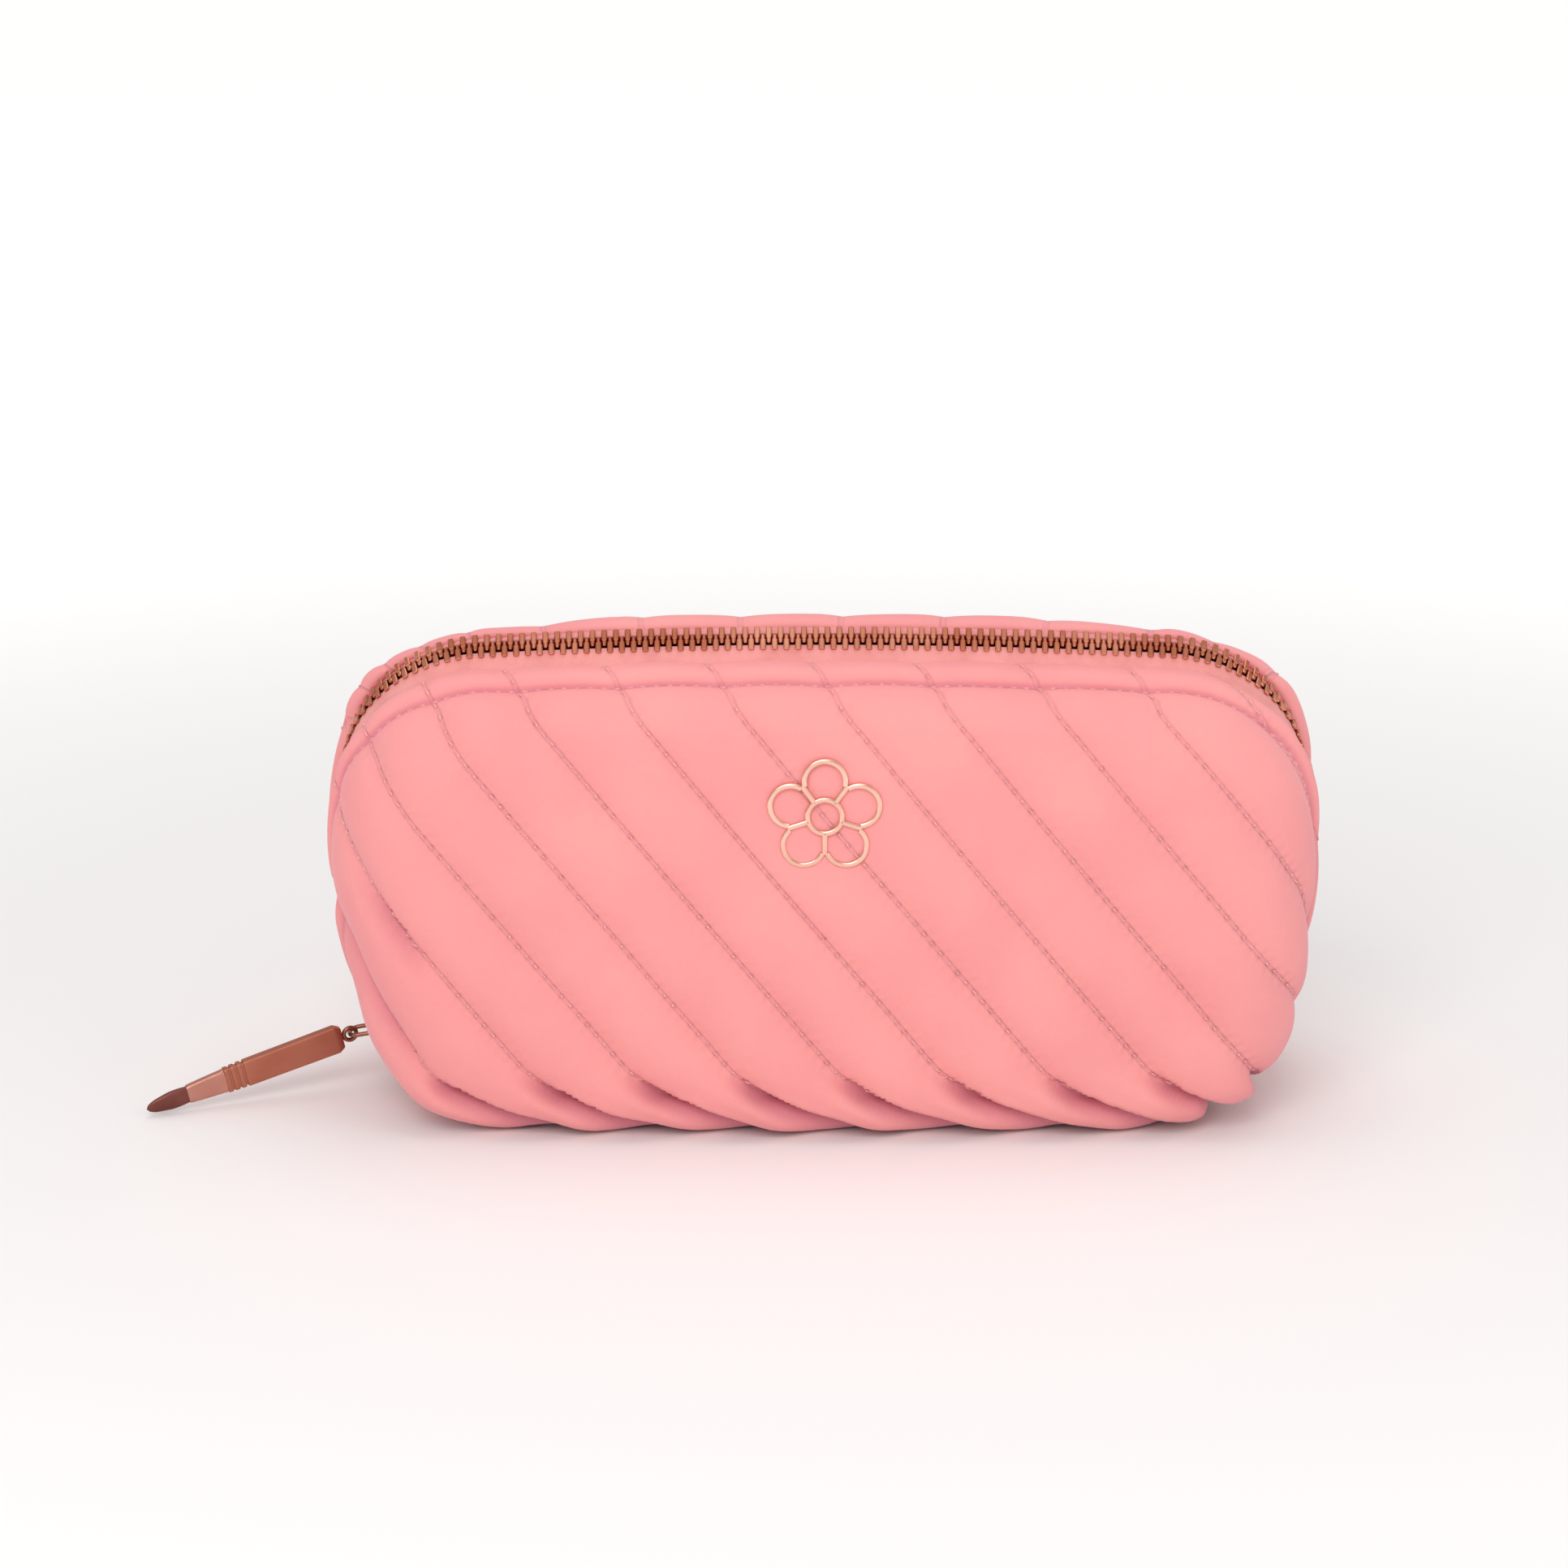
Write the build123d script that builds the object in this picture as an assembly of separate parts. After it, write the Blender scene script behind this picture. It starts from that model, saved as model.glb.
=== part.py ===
from build123d import *
import math
import os

# Quilted makeup bag with a zip that runs up one side, over the top and down the other.
# Millimetres.  +X is to the right, +Y to the back, +Z up.
# The origin is the middle of the flat base, on the surface that the bag stands on.

# ---------------------------------------------------------------- body of the bag
SEAM_FOOT_Y = 2.0           # where the zip plane meets the floor
SEAM_LEAN = 9.0             # forward lean of the zip plane, degrees
SEAM_HALF_WIDTH = 106.5     # half width of the covers beside the zip
SEAM_HEIGHT = 107.5         # height of the zip line up its leaning plane
WAIST_HEIGHT = 58.0         # height of the widest line
FOOT_HALF_WIDTH = 88.0      # half width of the covers at the floor
CROWN_RADIUS = 1400.0       # slow rise of the top edge
CORNER_RADIUS = 33.0        # upper corners
FOOT_RADIUS = 9.0           # lower corners
FRONT_DEPTH = 34.5          # front face at the floor, forward of the origin
BACK_DEPTH = 38.0           # back face at the floor, behind the origin
FRONT_CURL = 12.0           # from the front rim's top forward to the top of the flat face
FRONT_FALL = 13.0           # from the front rim's top down to the top of the flat face
FRONT_NARROWING = 17.5      # the flat front face is this much slimmer on either side
BACK_FALL = 29.0            # from the back rim's top down to the top of the flat face
BACK_NARROWING = 24.0       # the flat back face is this much slimmer on either side
BASE_CORNER = 20.0          # corners of the base, seen from above

# ---------------------------------------------------------------- cloth layers
FACE_CLOTH = 1.5            # velvet face, with its backing
WADDING = 2.5               # quilt wadding
LINING = 0.6                # inner cloth
LAYER_GAP = 0.05            # air between layers
SEWN_GAP = 0.3              # air between the front half and what it swings away from
RIM_OFFSET = 4.8            # from the zip plane to the rim of either cover
RIM_RISE = 1.0              # the padded rim stands this much above the zip tape

# ---------------------------------------------------------------- zip
ZIP_TURN = 41.0             # how far the zip faces forward along the top, degrees
TOOTH_PITCH = 2.5
TOOTH_LENGTH = 1.0
TOOTH_HEAD_REACH = 1.0      # past the middle line
LEG_CLEARANCE = 1.9         # from the end of a tooth's legs to the rim of the cover
TOOTH_FOOT = RIM_OFFSET - LEG_CLEARANCE
TOOTH_THICKNESS = 2.4
TAPE_THICKNESS = 0.6
TAPE_CLEARANCE = 0.15       # between tape and legs, and between tape and cover rim
TAPE_INNER = 1.6            # inner edge of the tape, from the middle line
TAPE_END_HEIGHT = 3.0       # the tapes end this far up the side
STOP_LENGTH = 2.2

# ---------------------------------------------------------------- slider
SLIDER_HEIGHT = 15.5        # height of the slider's middle when the zip is shut
SLIDER_RIM_GAP = 0.4        # between the slider and the rim of either cover
SLIDER_HALF_WIDTH = RIM_OFFSET - SLIDER_RIM_GAP
SLIDER_HALF_LENGTH = 6.0
SLIDER_PLATE = 0.9
SLIDER_ROOM = 0.55          # between teeth and plates
SLIDER_FLANGE = 0.8
SLIDER_MOUTH = 0.9          # half of the slit that the tape runs through
WEDGE_HALF_WIDTH = 1.2
WEDGE_LENGTH = 2.4
WEDGE_CLEARANCE = 0.4       # between the wedge and the last closed tooth
STOP_CLEARANCE = 0.4        # between the slider or a tooth and a stop
BAIL_WIDTH = 1.6
BAIL_WALL = 0.9
BAIL_ROOM = 2.0             # height of the space under the bail
BAIL_HALF_LENGTH = 3.4

# ---------------------------------------------------------------- pull
PULL_WIRE = 0.5             # wire radius of the link
LINK_RADIUS = 2.0           # end radius of the link
LINK_STRAIGHT = 2.4         # straight length of the link
PULL_RUN = (-41.0, -18.0, -10.5)    # way that the pull lies, from the link to the tip
EYE_RADIUS = 1.45
EYE_WIRE = 0.5
HANDLE_LENGTH = 23.0
HANDLE_WIDTH = 6.4
HANDLE_THICKNESS = 2.4
HANDLE_SHOULDER = 2.4
BAND_LENGTH = 4.6
FERRULE_LENGTH = 8.9
FERRULE_WIDTH = 5.4
FERRULE_END_WIDTH = 4.2
TIP_LENGTH = 9.5
TIP_WIDTH = 3.8
TIP_POINT_WIDTH = 0.8

# ---------------------------------------------------------------- badge
BADGE_DROP = 35.5           # from the top of the zip line down to the badge's middle
BADGE_HEIGHT = SEAM_HEIGHT - BADGE_DROP
BADGE_REACH = 12.6          # from its middle to a petal's end
BADGE_PETALS = 5
PETAL_RADIUS = 5.0
BADGE_LINE = 1.3            # width of the metal line
BADGE_THICKNESS = 1.4
BADGE_HEART_RADIUS = 4.3
PRONG_RADIUS = 0.5
PRONG_CLEARANCE = 0.1
WASHER_RADIUS = 9.0
WASHER_HOLE_RADIUS = 3.0
WASHER_THICKNESS = 0.5

LEAN = math.radians(SEAM_LEAN)
COVER_STACK = FACE_CLOTH + WADDING + LINING + 2 * LAYER_GAP
RIM_DROP = RIM_OFFSET * math.tan(math.radians(ZIP_TURN))
HINGE_HEIGHT = FACE_CLOTH + SEWN_GAP


# ================================================================ outlines of the bag
def section_plane(foot_y, top_y, top_z):
    """Upright plane through the floor line at foot_y and the top line at top_y, top_z."""
    up = Vector(0, top_y - foot_y, top_z).normalized()
    return Plane(origin=(0, foot_y, 0), x_dir=(1, 0, 0), z_dir=Vector(1, 0, 0).cross(up))


def meet(centre_a, reach_a, centre_b, reach_b):
    """Right-hand crossing of two circles."""
    ax, ay = centre_a
    bx, by = centre_b
    gap = math.hypot(bx - ax, by - ay)
    along = (reach_a**2 - reach_b**2 + gap**2) / (2 * gap)
    across = math.sqrt(reach_a**2 - along**2)
    ux, uy = (bx - ax) / gap, (by - ay) / gap
    one = (ax + along * ux - across * uy, ay + along * uy + across * ux)
    two = (ax + along * ux + across * uy, ay + along * uy - across * ux)
    return max(one, two)


def on_circle(centre, radius, angle):
    return centre[0] + radius * math.cos(angle), centre[1] + radius * math.sin(angle)


def angle_of(centre, point):
    return math.atan2(point[1] - centre[1], point[0] - centre[0])


def half_outline(half_width, height, foot_half, corner):
    """Circles of the right half of an outline: crown, corner, side and foot.

    Each is (centre, radius, start angle, end angle), from the top centre downwards."""
    drop = half_width - foot_half
    side_radius = (drop**2 + WAIST_HEIGHT**2) / (2 * drop)
    side = (half_width - side_radius, WAIST_HEIGHT)
    crown = (0.0, height - CROWN_RADIUS)
    knuckle = meet(side, side_radius - corner, crown, CROWN_RADIUS - corner)
    heel_x = side[0] + math.sqrt((side_radius - FOOT_RADIUS) ** 2 - (WAIST_HEIGHT - FOOT_RADIUS) ** 2)
    heel = (heel_x, FOOT_RADIUS)
    crown_end = angle_of(crown, knuckle)
    side_start = angle_of(side, knuckle)
    side_end = angle_of(side, heel)
    return [
        (crown, CROWN_RADIUS, math.pi / 2, crown_end),
        (knuckle, corner, crown_end, side_start),
        (side, side_radius, side_start, side_end),
        (heel, FOOT_RADIUS, side_end, -math.pi / 2),
    ]


def outline_wire(plane, half_width, height, foot_half, corner):
    """Closed outline in a plane: floor line, two feet, two sides, two corners, crown."""
    arcs = half_outline(half_width, height, foot_half, corner)
    edges = []

    def place(x, v):
        return plane.from_local_coords(Vector(x, v, 0))

    def add_arc(start, middle, end):
        edges.append(ThreePointArc(place(*start), place(*middle), place(*end)))

    crown, crown_radius, _, crown_end = arcs[0]
    right = on_circle(crown, crown_radius, crown_end)
    add_arc((-right[0], right[1]), (0, height), right)
    for centre, radius, start, end in arcs[1:]:
        points = [on_circle(centre, radius, a) for a in (start, (start + end) / 2, end)]
        add_arc(*points)
    toe = arcs[3][0][0]
    edges.append(Line(place(toe, 0), place(-toe, 0)))
    for centre, radius, start, end in reversed(arcs[1:]):
        points = [on_circle(centre, radius, a) for a in (end, (start + end) / 2, start)]
        add_arc(*[(-x, v) for x, v in points])
    return Wire(edges)


def front_sections():
    """Front outlines from the rim to the face: foot y, top y, top z, half width, foot, corner."""
    rim_up = SEAM_HEIGHT - RIM_DROP + RIM_RISE
    rim_y = SEAM_FOOT_Y - RIM_OFFSET / math.cos(LEAN)
    top_y = rim_y - rim_up * math.sin(LEAN)
    top_z = rim_up * math.cos(LEAN)

    def outline(forward, curl, fall, narrowing, foot, corner):
        return (
            -forward * FRONT_DEPTH,
            top_y - curl * FRONT_CURL,
            top_z - fall * FRONT_FALL,
            SEAM_HALF_WIDTH - narrowing * FRONT_NARROWING,
            FOOT_HALF_WIDTH + foot,
            CORNER_RADIUS + corner,
        )

    return [
        (rim_y, top_y, top_z, SEAM_HALF_WIDTH, FOOT_HALF_WIDTH, CORNER_RADIUS),
        outline(0.5, 0.31, 0.27, 0.07, 0.5, 1.0),
        outline(0.83, 0.72, 0.54, 0.37, -1.0, 1.0),
        outline(1.0, 1.0, 1.0, 1.0, -7.0, -1.0),
    ]


def back_sections():
    """Back outlines from the rim to the face, as for the front."""
    rim_up = SEAM_HEIGHT + RIM_DROP + RIM_RISE / 2
    rim_y = SEAM_FOOT_Y + RIM_OFFSET / math.cos(LEAN)
    top_y = rim_y - rim_up * math.sin(LEAN)
    top_z = rim_up * math.cos(LEAN)

    def outline(backward, top_backward, fall, narrowing, foot, corner):
        return (
            backward * BACK_DEPTH,
            top_backward * BACK_DEPTH,
            top_z - fall * BACK_FALL,
            SEAM_HALF_WIDTH - narrowing * BACK_NARROWING,
            FOOT_HALF_WIDTH + foot,
            CORNER_RADIUS + corner,
        )

    return [
        (rim_y, top_y, top_z, SEAM_HALF_WIDTH, FOOT_HALF_WIDTH, CORNER_RADIUS),
        outline(0.42, 0.01, -0.02, 0.01, 0.5, 2.0),
        outline(0.74, 0.47, 0.17, 0.15, -1.0, 5.0),
        outline(0.92, 0.79, 0.55, 0.44, -4.0, 4.0),
        outline(1.0, 0.93, 1.0, 1.0, -10.0, 0.0),
    ]


def dome(sections, inset, forward):
    """Closed half of the bag, shrunk by inset on its outer side.  forward is -1 or +1."""
    wires = []
    last = len(sections) - 1
    for index, (foot_y, top_y, top_z, wide, foot, corner) in enumerate(sections):
        shift = -forward * inset * index / last
        plane = section_plane(foot_y + shift, top_y + shift, top_z)
        height = math.hypot(top_y - foot_y, top_z) - inset
        wires.append(outline_wire(plane, wide - inset, height, foot - inset, corner - inset / 2))
    return Solid.make_loft(wires)


def above(height):
    """Big block whose lower face is at this height."""
    size = 4 * SEAM_HALF_WIDTH
    return Pos(0, 0, height) * Box(size, size, size, align=(Align.CENTER, Align.CENTER, Align.MIN))


def layer(sections, outer, inner, forward, floor):
    """One cloth layer of a half, between two insets, cut off level above the base."""
    return (dome(sections, outer, forward) - dome(sections, inner, forward)) & above(floor)


def layer_insets():
    """Outer and inner inset of face cloth, wadding and lining."""
    wadding_start = FACE_CLOTH + LAYER_GAP
    lining_start = wadding_start + WADDING + LAYER_GAP
    return [
        (0.0, FACE_CLOTH),
        (wadding_start, wadding_start + WADDING),
        (lining_start, lining_start + LINING),
    ]


def lean_at(section, height):
    """How far back a face has leaned at this height."""
    foot_y, top_y, top_z, *_ = section
    return (top_y - foot_y) * height / top_z


def base_plate(bottom, thickness, inset):
    """Level layer of the base, following both covers as they lean in above their feet."""
    top = bottom + thickness
    half_x = FOOT_HALF_WIDTH - inset
    front = -FRONT_DEPTH + inset + lean_at(front_sections()[-1], top)
    back = BACK_DEPTH - inset + lean_at(back_sections()[-1], top)
    outline = Pos(0, (front + back) / 2) * RectangleRounded(2 * half_x, back - front, BASE_CORNER)
    return Pos(0, 0, bottom) * extrude(outline, thickness)


# ================================================================ zip line
def zip_arcs():
    """Circles of the right half of the zip line, from the top centre down to its end."""
    arcs = half_outline(
        SEAM_HALF_WIDTH - RIM_RISE, SEAM_HEIGHT, FOOT_HALF_WIDTH - RIM_RISE, CORNER_RADIUS - RIM_RISE
    )
    crown, corner, (side, side_radius, side_start, _) = arcs[:3]
    side_end = math.asin((TAPE_END_HEIGHT - side[1]) / side_radius)
    return [crown, corner, (side, side_radius, side_start, side_end)]


def zip_length():
    return sum(radius * (start - end) for _, radius, start, end in zip_arcs())


def zip_distance(height):
    """Distance along the zip line from the top centre to a height on the side."""
    crown, corner, (side, side_radius, side_start, _) = zip_arcs()
    run = sum(radius * (start - end) for _, radius, start, end in (crown, corner))
    return run + side_radius * (side_start - math.asin((height - side[1]) / side_radius))


def zip_frame(distance):
    """Plane at a signed distance along the zip line from the top centre, left is negative.

    Its x runs across the zip to the front, its y outwards, its z along the zip to the left end."""
    sign = -1 if distance < 0 else 1
    left = abs(distance)
    arcs = zip_arcs()
    for index, (centre, radius, start, end) in enumerate(arcs):
        run = radius * (start - end)
        if left <= run or index == 2:
            break
        left -= run
    angle = start - left / radius
    x, v = on_circle(centre, radius, angle)
    share = {0: 1.0, 1: 1.0 - left / run, 2: 0.0}[index]
    turn = math.radians(ZIP_TURN) * share * share * (3 - 2 * share)
    up = Vector(0, -math.sin(LEAN), math.cos(LEAN))
    forward = Vector(0, -math.cos(LEAN), -math.sin(LEAN))
    outward = Vector(sign * math.cos(angle), 0, 0) + up * math.sin(angle)
    point = Vector(sign * x, SEAM_FOOT_Y, 0) + up * v
    across = forward * math.cos(turn) - outward * math.sin(turn)
    normal = outward * math.cos(turn) + forward * math.sin(turn)
    return Plane(origin=point, x_dir=across, z_dir=across.cross(normal)), turn


def tape(side):
    """One zip tape.  side is +1 for the front tape and -1 for the back one."""
    reach = zip_length()
    pieces = []
    stations = 108
    half = TAPE_THICKNESS / 2
    for index in range(stations + 1):
        plane, turn = zip_frame(-reach + 2 * reach * index / stations)
        inner = side * TAPE_INNER
        outer = side * (RIM_OFFSET - TAPE_CLEARANCE - half * math.sin(turn)) / math.cos(turn)
        corners = [(inner, -half), (outer, -half), (outer, half), (inner, half)]
        points = [plane.from_local_coords(Vector(x, y, 0)) for x, y in corners]
        pieces.append(Wire.make_polygon(points, close=True))
    return Solid.make_loft(pieces, ruled=True)


def clamp(side, reach, length):
    """Metal clip on a tape edge: a head and two legs, lying across the zip."""
    half = TOOTH_THICKNESS / 2
    slot = TAPE_THICKNESS / 2 + TAPE_CLEARANCE
    throat = TAPE_INNER - TAPE_CLEARANCE
    points = [
        (reach, -half), (TOOTH_FOOT, -half), (TOOTH_FOOT, -slot), (throat, -slot),
        (throat, slot), (TOOTH_FOOT, slot), (TOOTH_FOOT, half), (reach, half),
    ]
    profile = make_face(Polyline([(side * x, y) for x, y in points], close=True))
    return Pos(0, 0, -length / 2) * extrude(profile, length)


def teeth(side):
    """One row of teeth, from the slider's wedge to the bottom stop."""
    wedge_end = -zip_distance(SLIDER_HEIGHT) - SLIDER_HALF_LENGTH + WEDGE_LENGTH
    start = wedge_end + WEDGE_CLEARANCE + TOOTH_LENGTH / 2
    if side > 0:
        start += TOOTH_PITCH / 2
    end = bottom_stop_distance() - STOP_LENGTH / 2 - STOP_CLEARANCE - TOOTH_LENGTH / 2
    count = int((end - start) / TOOTH_PITCH) + 1
    shape = clamp(side, -TOOTH_HEAD_REACH, TOOTH_LENGTH)
    return Compound([zip_frame(start + i * TOOTH_PITCH)[0] * shape for i in range(count)])


def top_stop(side):
    """Clip at the shut end of one tape, below the slider."""
    slider_end = zip_distance(SLIDER_HEIGHT) + SLIDER_HALF_LENGTH
    distance = -(slider_end + STOP_CLEARANCE + STOP_LENGTH / 2)
    return zip_frame(distance)[0] * clamp(side, SEWN_GAP / 2, STOP_LENGTH)


def bottom_stop_distance():
    return zip_distance(SLIDER_HEIGHT)


def bottom_stop():
    """Staple that holds both tapes together at the open end."""
    plane = zip_frame(bottom_stop_distance())[0]
    half = TOOTH_THICKNESS / 2
    slot = TAPE_THICKNESS / 2 + TAPE_CLEARANCE
    bar = Box(2 * TOOTH_FOOT, 2 * half, STOP_LENGTH)
    width = TOOTH_FOOT - TAPE_INNER + TAPE_CLEARANCE
    for side in (-1, 1):
        bar -= Pos(side * (TOOTH_FOOT - width / 2), 0, 0) * Box(width, 2 * slot, STOP_LENGTH)
    return plane * bar


# ================================================================ slider and pull
def slider_plane():
    return zip_frame(-zip_distance(SLIDER_HEIGHT))[0]


def slider_body():
    """Two plates joined by the wedge, with flanges that keep the teeth in."""
    inner = TOOTH_THICKNESS / 2 + SLIDER_ROOM
    width = 2 * SLIDER_HALF_WIDTH
    length = 2 * SLIDER_HALF_LENGTH
    body = Part()
    for face in (-1, 1):
        body += Pos(0, face * (inner + SLIDER_PLATE / 2), 0) * Box(width, SLIDER_PLATE, length)
        for side in (-1, 1):
            x = side * (SLIDER_HALF_WIDTH - SLIDER_FLANGE / 2)
            y = face * (inner + SLIDER_MOUTH) / 2
            body += Pos(x, y, 0) * Box(SLIDER_FLANGE, inner - SLIDER_MOUTH, length)
    wedge_z = SLIDER_HALF_LENGTH - WEDGE_LENGTH / 2
    body += Pos(0, 0, wedge_z) * Box(2 * WEDGE_HALF_WIDTH, 2 * inner, WEDGE_LENGTH)
    return slider_plane() * body


def plate_top():
    return TOOTH_THICKNESS / 2 + SLIDER_ROOM + SLIDER_PLATE


def slider_bail():
    """Bridge along the slider that holds the link."""
    height = BAIL_ROOM + BAIL_WALL
    outer = Box(BAIL_WIDTH, height, 2 * BAIL_HALF_LENGTH)
    window = Pos(0, -BAIL_WALL / 2, 0) * Box(2 * BAIL_WIDTH, BAIL_ROOM, 2 * (BAIL_HALF_LENGTH - BAIL_WALL))
    bridge = outer - window
    return slider_plane() * (Pos(0, plate_top() + height / 2, 0) * bridge)


def link_frame():
    """Point under the bail, way out along the link, way across it and lean of the pull."""
    plane = slider_plane()
    across = plane.x_dir
    start = plane.from_local_coords(Vector(0, plate_top() + BAIL_ROOM / 2, 0))
    run = Vector(*PULL_RUN).normalized()
    side = run.dot(across)
    out = (run - across * side).normalized()
    return start, out, across, math.asin(side)


def link_plane():
    start, out, across, _ = link_frame()
    return Plane(origin=start, x_dir=out, z_dir=out.cross(across))


def pull_ring():
    """Oval link: two half circles and two straights of round wire."""
    half = LINK_STRAIGHT / 2
    middle = LINK_RADIUS + half
    path = Pos(middle, 0) * SlotCenterToCenter(LINK_STRAIGHT, 2 * LINK_RADIUS)
    wire = path.face().outer_wire()
    start = wire @ 0
    section = Plane(origin=start, z_dir=wire % 0) * Circle(PULL_WIRE)
    return link_plane() * sweep(section, path=wire)


def pull_plane():
    """Frame of the pull: x along it, y across its broad face, z out of the face."""
    _, _, _, lean = link_frame()
    plane = link_plane()
    centre = LINK_RADIUS + LINK_STRAIGHT
    eye = (centre + LINK_RADIUS * math.cos(lean), LINK_RADIUS * math.sin(lean))
    run = plane.x_dir * math.cos(lean) + plane.y_dir * math.sin(lean)
    origin = plane.from_local_coords(Vector(*eye, 0))
    return Plane(origin=origin, x_dir=run, z_dir=run.cross(plane.z_dir))


def pull_eye():
    """Round eye on the end of the handle, round the link's wire."""
    return pull_plane() * Torus(EYE_RADIUS, EYE_WIRE)


def tapered(start, end, start_size, end_size):
    """Block along x from one rounded section to another."""
    sections = []
    for x, (width, thickness) in ((start, start_size), (end, end_size)):
        corner = 0.45 * min(width, thickness)
        plane = Plane(origin=(x, 0, 0), x_dir=(0, 1, 0), z_dir=(1, 0, 0))
        sections.append((plane * RectangleRounded(width, thickness, corner)).face().outer_wire())
    return Solid.make_loft(sections)


def handle_start():
    return EYE_RADIUS + EYE_WIRE


def pull_handle():
    """Flat bar with a shouldered end, and the two grooved rings next to the ferrule."""
    start = handle_start()
    full = (HANDLE_WIDTH, HANDLE_THICKNESS)
    neck = (0.55 * HANDLE_WIDTH, 0.8 * HANDLE_THICKNESS)
    bar_end = start + HANDLE_LENGTH
    handle = tapered(start, start + HANDLE_SHOULDER, neck, full)
    handle += tapered(start + HANDLE_SHOULDER, bar_end, full, full)
    ring_count = 4
    ring = BAND_LENGTH / (2 * ring_count)
    core = (0.88 * HANDLE_WIDTH, 0.88 * HANDLE_THICKNESS)
    handle += tapered(bar_end, bar_end + BAND_LENGTH, core, core)
    for index in range(ring_count):
        ring_start = bar_end + (2 * index + 1) * ring
        handle += tapered(ring_start, ring_start + ring, full, full)
    return pull_plane() * handle


def pull_ferrule():
    start = handle_start() + HANDLE_LENGTH + BAND_LENGTH
    wide = (FERRULE_WIDTH, 0.95 * HANDLE_THICKNESS)
    slim = (FERRULE_END_WIDTH, 0.8 * HANDLE_THICKNESS)
    return pull_plane() * tapered(start, start + FERRULE_LENGTH, wide, slim)


def pull_tip():
    """Brush-shaped end."""
    start = handle_start() + HANDLE_LENGTH + BAND_LENGTH + FERRULE_LENGTH
    belly = start + 0.45 * TIP_LENGTH
    thick = 0.75 * HANDLE_THICKNESS
    end = (TIP_POINT_WIDTH, 0.3 * HANDLE_THICKNESS)
    tip = tapered(start, belly, (TIP_WIDTH, thick), (TIP_WIDTH, thick))
    tip += tapered(belly, start + TIP_LENGTH, (TIP_WIDTH, thick), end)
    return pull_plane() * tip


# ================================================================ badge
def badge_plane(depth):
    """Plane at the badge's middle, this far outside the front face.  z points out."""
    foot_y, top_y, top_z, *_ = front_sections()[-1]
    lean = math.atan2(top_y - foot_y, top_z)
    outward = Vector(0, -math.cos(lean), math.sin(lean))
    point = Vector(0, foot_y + (top_y - foot_y) * BADGE_HEIGHT / top_z, BADGE_HEIGHT)
    return Plane(origin=point + outward * depth, x_dir=(1, 0, 0), z_dir=outward)


def around(reach, offset):
    """One point for each petal, on a circle about the badge's middle."""
    angles = [math.pi / 2 + 2 * math.pi * (i + offset) / BADGE_PETALS for i in range(BADGE_PETALS)]
    return [(reach * math.cos(a), reach * math.sin(a), a) for a in angles]


def prong_places():
    return around(BADGE_HEART_RADIUS - BADGE_LINE / 2, 0.5)


def emblem():
    """Blossom outline in flat metal with a ring at its heart, on prongs through the cover."""
    petal_reach = BADGE_REACH - PETAL_RADIUS
    outer = Sketch() + Circle(petal_reach)
    inner = Sketch() + Circle(petal_reach)
    for x, y, _ in around(petal_reach, 0):
        outer += Pos(x, y) * Circle(PETAL_RADIUS)
        inner += Pos(x, y) * Circle(PETAL_RADIUS - BADGE_LINE)
    figure = (outer - inner) + (Circle(BADGE_HEART_RADIUS) - Circle(BADGE_HEART_RADIUS - BADGE_LINE))
    spoke_end = petal_reach + BADGE_LINE / 2
    length = spoke_end - BADGE_HEART_RADIUS + BADGE_LINE
    for x, y, angle in around(spoke_end - length / 2, 0.5):
        figure += Pos(x, y) * Rot(0, 0, math.degrees(angle)) * Rectangle(length, BADGE_LINE)
    badge = extrude(figure, BADGE_THICKNESS)
    reach = LAYER_GAP + COVER_STACK + WASHER_THICKNESS
    for x, y, _ in prong_places():
        badge += Pos(x, y, -reach) * Cylinder(
            PRONG_RADIUS, reach + BADGE_THICKNESS / 2, align=(Align.CENTER, Align.CENTER, Align.MIN)
        )
    return badge_plane(LAYER_GAP) * badge


def prong_holes(layer_shape):
    """A cloth layer with the holes that the badge's prongs pass through."""
    pin = Cylinder(PRONG_RADIUS + PRONG_CLEARANCE, 4 * COVER_STACK)
    for x, y, _ in prong_places():
        layer_shape -= badge_plane(0) * Pos(x, y) * pin
    return layer_shape


def emblem_washer():
    """Backing washer inside the lining, which the prongs are bent over."""
    washer = Circle(WASHER_RADIUS) - Circle(WASHER_HOLE_RADIUS)
    for x, y, _ in prong_places():
        washer -= Pos(x, y) * Circle(PRONG_RADIUS + PRONG_CLEARANCE)
    depth = COVER_STACK + LAYER_GAP + WASHER_THICKNESS
    return badge_plane(-depth) * extrude(washer, WASHER_THICKNESS)


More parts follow.
